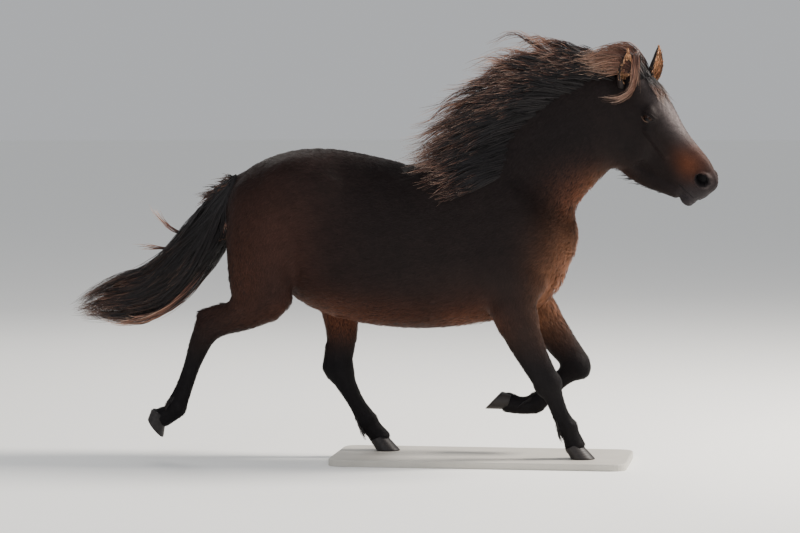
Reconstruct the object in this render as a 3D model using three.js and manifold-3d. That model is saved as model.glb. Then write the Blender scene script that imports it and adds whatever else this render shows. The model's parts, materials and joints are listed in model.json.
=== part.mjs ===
// A life-size still model of an Icelandic horse at a trot, on a flat display base.
//
// Millimetres, +X towards the head, +Y to the horse's left, +Z up. The origin is the middle of the
// base's underside. Inside the horse group z = 0 is the ground, which is the top of the base.
//
// The flesh is one implicit body: lofted limbs and muscles joined by a smooth minimum, so that a
// shoulder flows into a leg. Each node is a skin of rings cast onto that body from its own middle
// line, parted from its neighbours by thin planar cuts. Mane, forelock, tail and feather are flat
// tapered locks whose roots are sunk into the node that they grow from.

import * as THREE from "three";
import { mergeVertices } from "three/addons/utils/BufferGeometryUtils.js";
import Module from "manifold-3d";

const wasm = await Module();
wasm.setup();

// Driving dimensions

const BASE = { length: 1300, width: 560, thickness: 30, corner: 70, bevel: 6 };
const GAP = 0.3; // between touching solids
const MIDLINE = 2; // each leg keeps this far from the middle of the trunk
const SPARE = 46; // how far a skin is drawn past the cut that trims it
const FAR = 4000; // longer than the horse, for cutting slabs

const HOOF = { length: 114, width: 108, front: 70, back: 40, slope: 52 };
const EYE_RADIUS = 28;

// How the head is carried: turned to the right, nose down, and rolled a little
const HEAD = {
  between: [767, -71, 1495], // point midway between the eyes
  turn: 17,
  nod: 54,
  roll: 12,
};

const degrees = THREE.MathUtils.degToRad;
const vec = (p) => new THREE.Vector3(...p);

// Frames: a local frame has x along, y to the left and z up, like the whole part

function makeFrame(origin, turn, nod, roll) {
  const [t, n, r] = [turn, nod, roll].map(degrees);
  const along = new THREE.Vector3(Math.cos(t) * Math.cos(n), -Math.sin(t) * Math.cos(n), -Math.sin(n));
  const level = new THREE.Vector3(Math.cos(t) * Math.sin(n), -Math.sin(t) * Math.sin(n), Math.cos(n));
  const side = new THREE.Vector3(Math.sin(t), Math.cos(t), 0);
  const left = side.clone().multiplyScalar(Math.cos(r)).addScaledVector(level, Math.sin(r));
  const up = level.clone().multiplyScalar(Math.cos(r)).addScaledVector(side, -Math.sin(r));
  const matrix = new THREE.Matrix4().makeBasis(along, left, up).setPosition(...origin);
  return { along, left, up, matrix, inverse: matrix.clone().invert() };
}

const headFrame = makeFrame(HEAD.between, HEAD.turn, HEAD.nod, HEAD.roll);
const inHead = (p) => vec(p).applyMatrix4(headFrame.matrix);

// Implicit shapes: each is a function of a point that is negative inside, about in millimetres

const smoothMin = (a, b, blend) => {
  const h = Math.max(blend - Math.abs(a - b), 0) / blend;
  return Math.min(a, b) - (h * h * blend) / 4;
};

// A limb through stations [x, y, z, half width to the side, reach up or forward, reach down or back]
function limb(stations, blend = 30) {
  const spans = stations.slice(1).map((end, i) => {
    const start = stations[i];
    const from = vec(start);
    const along = vec(end).sub(from);
    const length = along.length();
    along.normalize();
    const side = new THREE.Vector3(0, 1, 0).addScaledVector(along, -along.y).normalize();
    const normal = new THREE.Vector3().crossVectors(along, side);
    return { from, along, length, side, normal, start, end };
  });
  const offset = new THREE.Vector3();
  const distance = (p) => {
    let nearest = Infinity;
    for (const { from, along, length, side, normal, start, end } of spans) {
      offset.copy(p).sub(from);
      const reach = offset.dot(along);
      const t = Math.min(Math.max(reach / length, 0), 1);
      const mix = (k) => start[k] + (end[k] - start[k]) * t;
      const [across, lift, over] = [offset.dot(side), offset.dot(normal), reach - t * length];
      const wide = mix(3);
      const tall = lift > 0 ? mix(4) : mix(5);
      const round = Math.min(wide, tall);
      const share = Math.hypot(across / wide, lift / tall, over / round);
      const slope = Math.hypot(across / wide ** 2, lift / tall ** 2, over / round ** 2);
      const d = slope < 1e-9 ? -round : (share * (share - 1)) / slope;
      nearest = Math.min(nearest, d);
    }
    return nearest;
  };
  return { distance, blend };
}

// An ellipsoid at [x, y, z] with radii [x, y, z], leaned by an angle about Y
function muscle(centre, radii, blend = 30, lean = 0) {
  const [cos, sin] = [Math.cos(degrees(lean)), Math.sin(degrees(lean))];
  const distance = (p) => {
    const [x, y, z] = [p.x - centre[0], p.y - centre[1], p.z - centre[2]];
    const [a, b, c] = [x * cos - z * sin, y, x * sin + z * cos];
    const share = Math.hypot(a / radii[0], b / radii[1], c / radii[2]);
    const slope = Math.hypot(a / radii[0] ** 2, b / radii[1] ** 2, c / radii[2] ** 2);
    return slope < 1e-9 ? -Math.min(...radii) : (share * (share - 1)) / slope;
  };
  return { distance, blend };
}

// A hollow is pressed in rather than added
const hollow = (shape) => ({ ...shape, hollow: true });

const mirrored = (make) => [make(1), make(-1)];

function body(...groups) {
  const shapes = groups.flat(Infinity);
  return (p) =>
    shapes.reduce((sum, { distance, blend, hollow: pressed }) => {
      const d = distance(p);
      return pressed ? -smoothMin(-sum, d, blend) : smoothMin(sum, d, blend);
    }, 1e4);
}

// The same shapes placed in a frame
function placed(frame, field) {
  const local = new THREE.Vector3();
  return { distance: (p) => field(local.copy(p).applyMatrix4(frame.inverse)), blend: 30 };
}

// Flesh, in the horse's frame: the near side of the picture is the horse's right, where y is negative

const TRUNK = [
  limb([
    [-1010, 0, 1045, 135, 152, 190],
    [-930, 0, 1067, 190, 232, 260],
    [-830, 0, 1052, 232, 288, 284],
    [-720, 0, 1027, 248, 324, 348],
    [-610, 0, 987, 258, 348, 374],
    [-490, 0, 942, 276, 364, 366],
    [-365, 0, 917, 288, 360, 358],
    [-232, 0, 912, 286, 376, 355],
    [-100, 0, 927, 264, 396, 350],
    [34, 0, 947, 234, 392, 347],
    [166, 0, 965, 206, 300, 326],
    [240, 0, 962, 172, 210, 252],
    [286, 0, 935, 132, 130, 162],
  ]),
  mirrored((s) => [
    muscle([-790, s * 125, 1137], [190, 118, 165], 70),
    muscle([-668, s * 205, 1182], [58, 34, 46], 60),
    muscle([195, s * 150, 985], [120, 76, 190], 70, -18),
    muscle([70, s * 178, 850], [140, 64, 120], 60),
    muscle([270, s * 82, 878], [74, 76, 96], 50),
    muscle([-20, s * 75, 1225], [150, 70, 110], 80),
    muscle([-995, s * 95, 1090], [90, 70, 130], 50),
  ]),
];

const NECK = [
  limb([
    [90, 0, 1120, 176, 232, 236],
    [205, -2, 1215, 142, 272, 232],
    [285, -6, 1300, 118, 288, 224],
    [365, -14, 1378, 102, 284, 220],
    [445, -24, 1448, 92, 262, 218],
    [520, -34, 1502, 86, 222, 212],
    [590, -44, 1545, 80, 168, 192],
  ], 60),
];

const DOCK = [
  limb([
    [-1010, 0, 1175, 48, 62, 60],
    [-1080, 0, 1165, 44, 56, 56],
    [-1150, 0, 1115, 38, 46, 50],
    [-1215, 0, 1040, 30, 36, 42],
    [-1265, 0, 960, 20, 24, 28],
  ], 40),
];

// Each leg: the flesh where it joins the trunk, the leg itself, and the middle line its skin is cast from

const LEGS = [
  {
    name: "leg_hind_right",
    thigh: [
      limb([
        [-890, -120, 1067, 120, 170, 190],
        [-935, -150, 917, 112, 150, 172],
        [-955, -160, 777, 98, 146, 150],
        [-975, -162, 690, 86, 112, 116],
      ], 40),
      muscle([-872, -178, 690], [58, 52, 60], 40, 30),
      muscle([-1042, -110, 985], [70, 72, 190], 50),
    ],
    shank: [
      limb([
        [-940, -165, 677, 84, 96, 90],
        [-1040, -156, 627, 68, 82, 80],
        [-1130, -144, 587, 50, 64, 62],
        [-1200, -134, 557, 39, 60, 60],
      ]),
      limb([
        [-1130, -140, 655, 20, 16, 16],
        [-1226, -132, 618, 24, 24, 24],
      ], 24),
      limb([
        [-1200, -134, 562, 41, 56, 60],
        [-1238, -128, 477, 35, 46, 50],
        [-1272, -122, 387, 28, 35, 40],
        [-1308, -116, 287, 28, 35, 42],
        [-1340, -110, 212, 33, 42, 50],
      ]),
      limb([
        [-1345, -108, 196, 36, 44, 50],
        [-1378, -106, 172, 36, 42, 42],
        [-1412, -104, 154, 43, 46, 46],
      ], 16),
    ],
    line: [
      [-930, -165, 732], [-966, -164, 680], [-1030, -156, 634], [-1090, -150, 606], [-1150, -142, 580],
      [-1203, -134, 548], [-1228, -130, 500], [-1250, -125, 440], [-1272, -122, 380], [-1295, -118, 320],
      [-1318, -114, 262], [-1340, -109, 205], [-1378, -106, 172], [-1402, -104, 158],
    ],
    root: { point: [-806, 0, 676], facing: [-0.18, 0, -0.984], x: [-1300, -804] },
    middle: { point: [-1248, -126, 448], facing: [-0.36, 0.05, -0.93] },
    hoof: { sole: [-1448, -104, 112], pitch: -52 },
  },
  {
    name: "leg_hind_left",
    thigh: [
      limb([
        [-850, 120, 1057, 120, 190, 180],
        [-790, 150, 917, 112, 180, 150],
        [-730, 165, 787, 98, 146, 104],
        [-695, 168, 707, 86, 112, 90],
      ], 30),
      muscle([-640, 178, 712], [60, 52, 62], 40, 30),
      muscle([-1020, 110, 997], [76, 72, 180], 50),
    ],
    shank: [
      limb([
        [-690, 165, 707, 80, 104, 88],
        [-660, 156, 607, 66, 84, 78],
        [-648, 142, 507, 50, 70, 68],
        [-655, 130, 407, 39, 60, 60],
        [-655, 124, 345, 39, 60, 60],
      ]),
      limb([
        [-700, 132, 457, 20, 16, 16],
        [-710, 126, 366, 23, 24, 24],
      ], 24),
      limb([
        [-655, 124, 350, 40, 58, 58],
        [-612, 116, 275, 33, 42, 46],
        [-572, 110, 205, 28, 36, 40],
        [-525, 104, 135, 33, 42, 50],
      ]),
      limb([
        [-520, 103, 122, 36, 44, 48],
        [-496, 100, 90, 36, 42, 42],
        [-468, 98, 56, 43, 46, 46],
      ], 16),
    ],
    line: [
      [-692, 163, 662], [-677, 159, 612], [-660, 152, 560], [-650, 144, 505], [-648, 135, 445],
      [-655, 127, 380], [-645, 122, 325], [-615, 117, 275], [-585, 112, 225], [-552, 108, 175],
      [-522, 103, 128], [-496, 100, 90], [-478, 98, 68],
    ],
    root: { point: [-545, 0, 562], facing: [-0.39, 0, -0.92], x: [-802, -480] },
    middle: { point: [-628, 119, 302], facing: [0.5, -0.06, -0.86] },
    hoof: { sole: [-438, 97, 0], pitch: 0 },
  },
  {
    name: "leg_fore_right",
    thigh: [
      limb([
        [180, -150, 787, 78, 116, 120],
        [155, -148, 690, 72, 100, 112],
        [172, -142, 600, 62, 84, 90],
      ], 50),
    ],
    shank: [
      limb([
        [152, -146, 668, 64, 90, 98],
        [192, -138, 550, 55, 80, 86],
        [236, -130, 450, 45, 66, 70],
        [285, -120, 357, 43, 58, 60],
        [303, -116, 322, 41, 56, 58],
      ]),
      limb([
        [303, -116, 327, 39, 54, 58],
        [332, -112, 262, 29, 38, 44],
        [358, -110, 197, 27, 34, 42],
        [385, -106, 142, 33, 40, 46],
      ]),
      limb([
        [388, -106, 136, 36, 42, 46],
        [402, -104, 100, 35, 40, 40],
        [418, -102, 56, 43, 46, 46],
      ], 16),
    ],
    line: [
      [158, -146, 660], [168, -144, 612], [190, -138, 555], [217, -133, 490], [252, -126, 420],
      [285, -120, 357], [308, -115, 315], [332, -112, 260], [354, -110, 205], [376, -107, 157],
      [394, -105, 118], [408, -103, 84], [415, -102, 68],
    ],
    root: { point: [60, 0, 574], facing: [0.45, 0, -0.89], x: [0, 420] },
    middle: { point: [318, -114, 292], facing: [0.42, 0.05, -0.9] },
    hoof: { sole: [446, -101, 0], pitch: 0 },
  },
  {
    name: "leg_fore_left",
    thigh: [
      limb([
        [190, 148, 787, 78, 116, 116],
        [192, 146, 690, 72, 98, 100],
        [240, 140, 610, 62, 82, 84],
      ], 50),
    ],
    shank: [
      limb([
        [198, 146, 668, 64, 86, 94],
        [275, 136, 567, 55, 78, 80],
        [350, 126, 467, 45, 66, 66],
        [402, 118, 398, 43, 62, 56],
      ]),
      muscle([426, 116, 376], [40, 42, 46], 24),
      limb([
        [410, 117, 384, 41, 56, 50],
        [352, 114, 342, 32, 44, 40],
        [300, 112, 290, 28, 36, 38],
        [235, 110, 222, 32, 42, 42],
      ]),
      limb([
        [222, 109, 212, 36, 42, 46],
        [160, 107, 208, 35, 40, 40],
        [106, 105, 218, 43, 44, 48],
      ], 16),
    ],
    line: [
      [200, 146, 676], [228, 143, 630], [270, 138, 572], [318, 130, 508], [364, 124, 444],
      [404, 118, 390], [352, 114, 342], [302, 112, 290], [262, 111, 248], [226, 109, 213],
      [185, 108, 208], [145, 107, 211], [118, 105, 215],
    ],
    root: { point: [60, 0, 574], facing: [0.45, 0, -0.89], x: [0, 420] },
    middle: { point: [366, 115, 350], facing: [-0.56, -0.03, -0.83] },
    hoof: { sole: [43, 104, 236], pitch: -134 },
  },
];

// Flesh of the head, in its own frame: x from the brow towards the nose, z from the jaw to the brow

const HEAD_FLESH = [
  limb([
    [-200, 0, -20, 58, 66, 120],
    [-140, 0, -8, 80, 84, 200],
    [-60, 0, 0, 92, 80, 268],
    [20, 0, 0, 90, 74, 288],
    [85, 0, 2, 76, 66, 264],
    [150, 0, 4, 62, 64, 228],
    [220, 0, 6, 54, 70, 198],
    [290, 0, 4, 50, 80, 156],
    [345, 0, -4, 50, 80, 118],
    [364, 0, -10, 46, 78, 92],
  ]),
  mirrored((s) => [
    muscle([-15, s * 66, -160], [138, 30, 120], 26),
    limb([
      [40, s * 46, -254, 26, 38, 38],
      [170, s * 37, -219, 21, 32, 32],
      [320, s * 24, -124, 18, 26, 26],
    ], 26),
    muscle([-22, s * 82, 22], [50, 20, 22], 20),
    limb([
      [40, s * 82, -36, 10, 10, 10],
      [170, s * 56, -50, 8, 8, 8],
    ], 24),
    muscle([352, s * 38, 26], [36, 20, 32], 18),
    hollow(muscle([-78, s * 92, 26], [40, 14, 26], 20)),
  ]),
  muscle([374, 0, -32], [40, 40, 47], 16),
  muscle([366, 0, -112], [36, 34, 22], 16),
  muscle([376, 0, -88], [28, 30, 24], 16),
];

const HEAD_SHAPE = placed(headFrame, body(HEAD_FLESH));
const NECK_AND_HEAD = [NECK, { ...HEAD_SHAPE, blend: 40 }];

const thighs = LEGS.map(({ thigh }) => thigh);
const shanks = LEGS.map(({ shank }) => shank);
const flesh = body(TRUNK, DOCK, NECK_AND_HEAD, thighs, shanks);
const trunkFlesh = body(TRUNK, DOCK, NECK_AND_HEAD, thighs);

// Skins: rings cast onto a body from a middle line

// How far the body reaches from a point in a direction
function reachOf(field, from, direction, limit = 900) {
  const p = new THREE.Vector3();
  const at = (r) => field(p.copy(from).addScaledVector(direction, r));
  let [inside, outside] = [0, 0];
  while (outside < limit) {
    const d = at(outside);
    if (d > 0) break;
    inside = outside;
    outside += Math.max(-d * 0.6, 2);
  }
  for (let i = 0; i < 14; i++) {
    const middle = (inside + outside) / 2;
    if (at(middle) > 0) outside = middle;
    else inside = middle;
  }
  return inside;
}

// A closed skin round a middle line of points, with domed ends of a few rings
function castSkin(field, line, sides, domeRings = 4, limit = 900) {
  const points = line.map(vec);
  const rings = [];
  const lastStation = points.length - 1;
  const ringAt = (station, tilt) => {
    const before = points[Math.max(station - 1, 0)];
    const after = points[Math.min(station + 1, lastStation)];
    const along = after.clone().sub(before).normalize();
    const side = new THREE.Vector3(0, 1, 0).addScaledVector(along, -along.y).normalize();
    const normal = new THREE.Vector3().crossVectors(along, side);
    return Array.from({ length: sides }, (_, i) => {
      const turn = (2 * Math.PI * (i + 0.5)) / sides;
      const direction = side.clone().multiplyScalar(Math.cos(turn) * Math.cos(tilt));
      direction.addScaledVector(normal, Math.sin(turn) * Math.cos(tilt));
      direction.addScaledVector(along, Math.sin(tilt));
      const reach = reachOf(field, points[station], direction, limit);
      return points[station].clone().addScaledVector(direction, reach);
    });
  };
  const pole = (station, sign) => {
    const other = station === 0 ? 1 : lastStation - 1;
    const direction = points[station].clone().sub(points[other]).normalize();
    const reach = reachOf(field, points[station], direction, limit);
    return points[station].clone().addScaledVector(direction, reach);
  };
  for (let k = domeRings; k >= 1; k--) rings.push(ringAt(0, (-k / (domeRings + 1)) * (Math.PI / 2)));
  for (let i = 0; i <= lastStation; i++) rings.push(ringAt(i, 0));
  for (let k = 1; k <= domeRings; k++) {
    rings.push(ringAt(lastStation, (k / (domeRings + 1)) * (Math.PI / 2)));
  }
  return ringsToSolid(rings, pole(0), pole(lastStation));
}

// A solid from rings of the same number of points, closed by a point at each end
function ringsToSolid(rings, firstPole, lastPole) {
  const sides = rings[0].length;
  const points = [firstPole, ...rings.flat(), lastPole];
  const triangles = [];
  const at = (ring, i) => 1 + ring * sides + (i % sides);
  for (let i = 0; i < sides; i++) {
    triangles.push([0, at(0, i), at(0, i + 1)]);
    for (let r = 0; r < rings.length - 1; r++) {
      triangles.push([at(r, i), at(r + 1, i), at(r + 1, i + 1)]);
      triangles.push([at(r, i), at(r + 1, i + 1), at(r, i + 1)]);
    }
    const last = rings.length - 1;
    triangles.push([points.length - 1, at(last, i + 1), at(last, i)]);
  }
  const positions = points.flatMap((p) => [p.x, p.y, p.z]);
  return solidFrom(new Float32Array(positions), new Uint32Array(triangles.flat()));
}

function solidFrom(vertProperties, triVerts) {
  const solid = new wasm.Manifold(new wasm.Mesh({ numProp: 3, vertProperties, triVerts }));
  if (solid.volume() > 0) return solid;
  const flipped = new Uint32Array(triVerts);
  for (let i = 0; i < flipped.length; i += 3) {
    [flipped[i + 1], flipped[i + 2]] = [flipped[i + 2], flipped[i + 1]];
  }
  return new wasm.Manifold(new wasm.Mesh({ numProp: 3, vertProperties, triVerts: flipped }));
}

// A closed three.js geometry as a solid
function solidOf(geometry) {
  const bare = geometry.clone();
  bare.deleteAttribute("normal");
  bare.deleteAttribute("uv");
  const merged = mergeVertices(bare, 1e-3);
  return solidFrom(merged.attributes.position.array, new Uint32Array(merged.index.array));
}

// The slab that takes away all that lies past a plane, which passes through a point and faces outwards
function beyond(point, facing, { width = FAR, middle = 0 } = {}) {
  const outward = vec(facing).normalize();
  const slab = new THREE.BoxGeometry(FAR, width, FAR);
  slab.translate(FAR / 2, middle, 0);
  const turn = new THREE.Quaternion().setFromUnitVectors(new THREE.Vector3(1, 0, 0), outward);
  slab.applyQuaternion(turn);
  slab.translate(...point);
  return solidOf(slab);
}

const largest = (solid) =>
  solid.decompose().reduce((best, piece) => (piece.volume() > best.volume() ? piece : best));

function geometryOf(solid) {
  const { numProp, numVert, vertProperties, triVerts } = solid.getMesh();
  const positions = new Float32Array(numVert * 3);
  for (let i = 0; i < numVert; i++) {
    positions.set(vertProperties.subarray(i * numProp, i * numProp + 3), i * 3);
  }
  const geometry = new THREE.BufferGeometry();
  geometry.setAttribute("position", new THREE.BufferAttribute(positions, 3));
  geometry.setIndex(new THREE.BufferAttribute(triVerts, 1));
  geometry.computeVertexNormals();
  return geometry;
}

// A tube of a few flat sides through points, with a half width and a half thickness at each, and a
// direction that its thin side faces at each
function tube(path, sizes, sides, facings) {
  const rings = path.map((point, i) => {
    const along = path[Math.min(i + 1, path.length - 1)].clone().sub(path[Math.max(i - 1, 0)]).normalize();
    const normal = facings[i].clone().addScaledVector(along, -facings[i].dot(along)).normalize();
    const side = new THREE.Vector3().crossVectors(along, normal);
    const [wide, thick] = sizes[i];
    return Array.from({ length: sides }, (_, k) => {
      const turn = (2 * Math.PI * k) / sides;
      const spot = point.clone().addScaledVector(side, wide * Math.cos(turn));
      return spot.addScaledVector(normal, thick * Math.sin(turn));
    });
  });
  return ringsToSolid(rings, path[0].clone(), path[path.length - 1].clone());
}

// The cuts that part the nodes: a point, and the way the outer piece lies

const NECK_CUT = { point: [165, 0, 1180], facing: [0.64, 0, 0.77] };
const HEAD_CUT = { point: [600, -40, 1520], facing: [0.96, -0.2, 0.16] };
const TAIL_CUT = { point: [-1080, 0, 1165], facing: [-0.93, 0, -0.36] };

const coat = new THREE.MeshStandardMaterial({ color: 0x2a1a15, roughness: 0.75, metalness: 0 });
const darkCoat = new THREE.MeshStandardMaterial({ color: 0x17120f, roughness: 0.7, metalness: 0 });
const horn = new THREE.MeshStandardMaterial({ color: 0x1b1a1e, roughness: 0.4, metalness: 0 });
const wetEye = new THREE.MeshStandardMaterial({ color: 0x0c0807, roughness: 0.08, metalness: 0 });
const board = new THREE.MeshStandardMaterial({ color: 0xb9b4aa, roughness: 0.6, metalness: 0 });

const horse = new THREE.Group();
horse.position.z = BASE.thickness + GAP;
const part = new THREE.Group();
part.add(horse);

function addNode(name, solid, material, group = horse) {
  const mesh = new THREE.Mesh(geometryOf(largest(solid)), material);
  mesh.name = name;
  group.add(mesh);
}

const moved = ({ point, facing }, gap) => ({
  point: vec(point).addScaledVector(vec(facing).normalize(), gap).toArray(),
  facing,
});
const reversed = ({ point, facing }) => ({ point, facing: facing.map((v) => -v) });
const keepInner = (solid, cut) => solid.subtract(beyond(cut.point, cut.facing));
const keepOuter = (solid, cut) => {
  const { point, facing } = reversed(moved(cut, GAP));
  return solid.subtract(beyond(point, facing));
};
const past = ({ point, facing }) => {
  const normal = vec(facing).normalize();
  const from = vec(point);
  return (p) => (p.x - from.x) * normal.x + (p.y - from.y) * normal.y + (p.z - from.z) * normal.z;
};

// The region below the root of a leg: it is taken from the trunk, and only the leg fills it
const legSide = ({ name }) => (name.endsWith("right") ? -1 : 1);
function legRegion(leg) {
  const { root } = leg;
  const s = legSide(leg);
  const slab = beyond(root.point, root.facing);
  const block = new THREE.BoxGeometry(root.x[1] - root.x[0], 600, 900);
  block.translate((root.x[0] + root.x[1]) / 2, s * (300 + MIDLINE), root.point[2] - 200);
  return slab.intersect(solidOf(block));
}
function inLegRegion(leg, margin) {
  const { root } = leg;
  const s = legSide(leg);
  const below = past(root);
  return (p) =>
    Math.min(below(p) - margin, p.x - root.x[0] - margin, root.x[1] - margin - p.x, p.y * s - MIDLINE);
}

// The region that the root of the tail fills
const tailBlock = new THREE.BoxGeometry(400, 170, 400);
tailBlock.translate(-1170, 0, 1225);
const tailRegion = beyond(TAIL_CUT.point, TAIL_CUT.facing).intersect(solidOf(tailBlock));

// Trunk, with the tops of the four legs

const regions = LEGS.map((leg) => inLegRegion(leg, SPARE));
const pastNeckCut = past(NECK_CUT);
const trunkField = (p, grow = 0) =>
  Math.max(trunkFlesh(p) - grow, pastNeckCut(p) - SPARE, ...regions.map((region) => region(p)));
const trunkLine = Array.from({ length: 27 }, (_, i) => [
  -990 + i * 46.5,
  0,
  1000 - 60 * Math.sin((i / 26) * Math.PI),
]);
let torso = castSkin(trunkField, trunkLine, 34, 3);
for (const leg of LEGS) torso = torso.subtract(legRegion(leg));
torso = keepInner(torso, NECK_CUT).subtract(tailRegion);
addNode("torso", torso, coat);

// The same trunk a little fuller, for cutting locks clear of it
const fullTrunk = castSkin((p) => trunkField(p, 1.5), trunkLine, 34, 3);
const clearOfTrunk = (solid) => solid.subtract(keepInner(fullTrunk, moved(NECK_CUT, GAP)));

// Locks of hair: flat, tapered, with a ridge on each face, rooted inside the node that they grow from

let seed = 20;
function random(low = 0, high = 1) {
  seed = (seed * 1664525 + 1013904223) % 4294967296;
  return low + (high - low) * (seed / 4294967296);
}

const gradient = (field, p) => {
  const step = 4;
  const change = (x, y, z) => {
    const there = field(new THREE.Vector3(p.x + x, p.y + y, p.z + z));
    return there - field(new THREE.Vector3(p.x - x, p.y - y, p.z - z));
  };
  return new THREE.Vector3(change(step, 0, 0), change(0, step, 0), change(0, 0, step)).normalize();
};

// Pushes a point out of the flesh until it is clear by a distance
function clearOf(field, p, clearance) {
  for (let i = 0; i < 6; i++) {
    const d = field(p);
    if (d >= clearance) break;
    p.addScaledVector(gradient(field, p), clearance - d);
  }
  return p;
}

// Half width and half thickness along a lock, as shares of its size
const LOCK_SHAPE = [
  [0, 0.66, 0.9],
  [0.22, 1, 1],
  [0.48, 0.96, 0.8],
  [0.74, 0.6, 0.5],
  [1, 0.08, 0.1],
];
const SHORT_SHAPE = [LOCK_SHAPE[0], LOCK_SHAPE[2], LOCK_SHAPE[4]];

function lock(pathAt, size, facingAt, shape = LOCK_SHAPE) {
  const points = shape.map(([t]) => pathAt(t));
  const rings = points.map((point, i) => {
    const [t, wide, thick] = shape[i];
    const [before, after] = [points[Math.max(i - 1, 0)], points[Math.min(i + 1, points.length - 1)]];
    const along = after.clone().sub(before).normalize();
    const normal = facingAt(point, t);
    normal.addScaledVector(along, -normal.dot(along)).normalize();
    const side = new THREE.Vector3().crossVectors(along, normal);
    const [w, h] = [Math.max(size.width * 0.5 * wide, 1), Math.max(size.thickness * 0.5 * thick, 0.8)];
    return [[w, 0], [0, h], [-w, 0], [0, -h]].map(([a, b]) =>
      point.clone().addScaledVector(side, a).addScaledVector(normal, b),
    );
  });
  return ringsToSolid(rings, points[0].clone(), points[points.length - 1].clone());
}

const LOCK = {
  mane: { width: 92, thickness: 22 },
  flying: { width: 104, thickness: 22 },
  fringe: { width: 56, thickness: 14 },
  tail: { width: 84, thickness: 26 },
  beard: { width: 36, thickness: 12 },
  feather: { width: 36, thickness: 14 },
};

// Where the mane grows: a share of 0 is the poll, a share of 1 the withers
const CREST = new THREE.CatmullRomCurve3(
  [[585, -44, 1560], [520, -34, 1520], [445, -24, 1465], [365, -14, 1395], [285, -6, 1320], [205, -2, 1240],
    [125, 0, 1160]].map(vec),
);

// Rows of locks: number, shares of the crest, lean at the root, turn against the fan, share of its length,
// rise off the crest and where it peaks, drop and sideways reach at the tip
const MANE = [
  { count: 6, from: 0.08, to: 0.94, lean: 26, turn: -14, size: 0.76, rise: 18, peak: 0.4, drop: 56,
    out: 60 },
  { count: 9, from: 0.02, to: 0.98, lean: -26, turn: -2, size: 0.98, rise: 20, peak: 0.4, drop: 26,
    out: -44 },
  { count: 8, from: 0.03, to: 0.94, lean: -9, turn: 2, size: 1, rise: 56, peak: 0.4, drop: 28, out: -18 },
  { count: 5, from: 0.02, to: 0.32, lean: -2, turn: -6, size: 0.96, rise: 96, peak: 0.25, drop: 20, out: -4 },
  { count: 2, from: 0.2, to: 0.3, lean: 4, turn: 20, size: 0.88, rise: 30, peak: 0.5, drop: 10, out: 10 },
];

// The mane opens like a fan: heading above level in degrees, length, and more lean towards the withers
const FAN = [
  [0, 24, 290, 0],
  [0.2, 14, 350, 0],
  [0.35, 4, 375, 0],
  [0.5, -8, 405, 0],
  [0.65, -14, 455, 3],
  [0.8, -19, 420, 12],
  [1, -18, 285, 42],
];
function fanAt(s) {
  const k = Math.max(FAN.findIndex(([end]) => end >= s), 1);
  const [low, high] = [FAN[k - 1], FAN[k]];
  const t = (s - low[0]) / (high[0] - low[0]);
  return low.map((value, i) => value + (high[i] - value) * t);
}

// Rises from 0 to 1 at the peak and is back at 0 at four fifths
const hump = (t, peak) => {
  if (t < peak) return Math.sin((Math.PI / 2) * (t / peak));
  return Math.cos((Math.PI / 2) * Math.min((t - peak) / (0.8 - peak), 1));
};

function maneLocks() {
  return MANE.flatMap(({ count, from, to, lean, turn, size, rise, peak, drop, out }) =>
    Array.from({ length: count }, (_, i) => {
      const share = i / (count - 1);
      const s = from + (to - from) * share;
      const middle = CREST.getPoint(s);
      const along = CREST.getTangent(s);
      const up = new THREE.Vector3(along.z, 0, -along.x);
      up.lerp(new THREE.Vector3(0, 0, 1), Math.max(1 - s / 0.2, 0)).normalize();
      const [, heading, length, outer] = fanAt(s);
      const tilt = degrees(lean * (1 + outer / 23) + random(-4, 4));
      const rootward = up.multiplyScalar(Math.cos(tilt));
      rootward.y += Math.sin(tilt);
      const reachOut = reachOf(neckField, middle, rootward);
      const root = middle.clone().addScaledVector(rootward, reachOut - 16);
      const angle = degrees(heading + turn + random(-4, 4));
      const stream = new THREE.Vector3(-Math.cos(angle), 0, Math.sin(angle));
      const reach = length * size * random(0.92, 1.06);
      const [phase, sway] = [random(0, 6), random(8, 20)];
      const lift = rise * (1 - 0.35 * share) * random(0.8, 1.15);
      const pathAt = (t) => {
        const p = root.clone().addScaledVector(stream, reach * t);
        p.addScaledVector(rootward, lift * hump(t, peak));
        p.z += -drop * t * t + sway * t * Math.sin(phase + 4.5 * t);
        p.y += out * Math.sin(t * 1.5) + sway * 0.7 * t * Math.cos(phase + 4 * t);
        return t < 0.1 ? p : clearOf(flesh, p, 3 + 20 * Math.min(t * 1.6, 1));
      };
      const rolled = vec([0, Math.sign(tilt), 0]);
      return lock(pathAt, rise > 70 ? LOCK.flying : LOCK.mane, (p, t) =>
        gradient(flesh, p).lerp(rolled, rise > 70 ? 0.85 : 0.3 + 0.3 * t),
      );
    }),
  );
}

// The forelock: some locks rise from between the ears and blow back, the others lie on the forehead
const BLOWN = [
  // root in the head's frame, height, reach back and to the left
  { root: [-186, -16], height: 50, back: 150, left: 12 },
  { root: [-176, 6], height: 84, back: 165, left: 6 },
  { root: [-166, 26], height: 66, back: 150, left: -6 },
];
const LAID = [
  // root and heading in the head's frame, length
  { root: [-150, -20], heading: [0.9, -0.3, 0.1], length: 130 },
  { root: [-146, 12], heading: [0.96, 0.1, 0.1], length: 150 },
];

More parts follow.
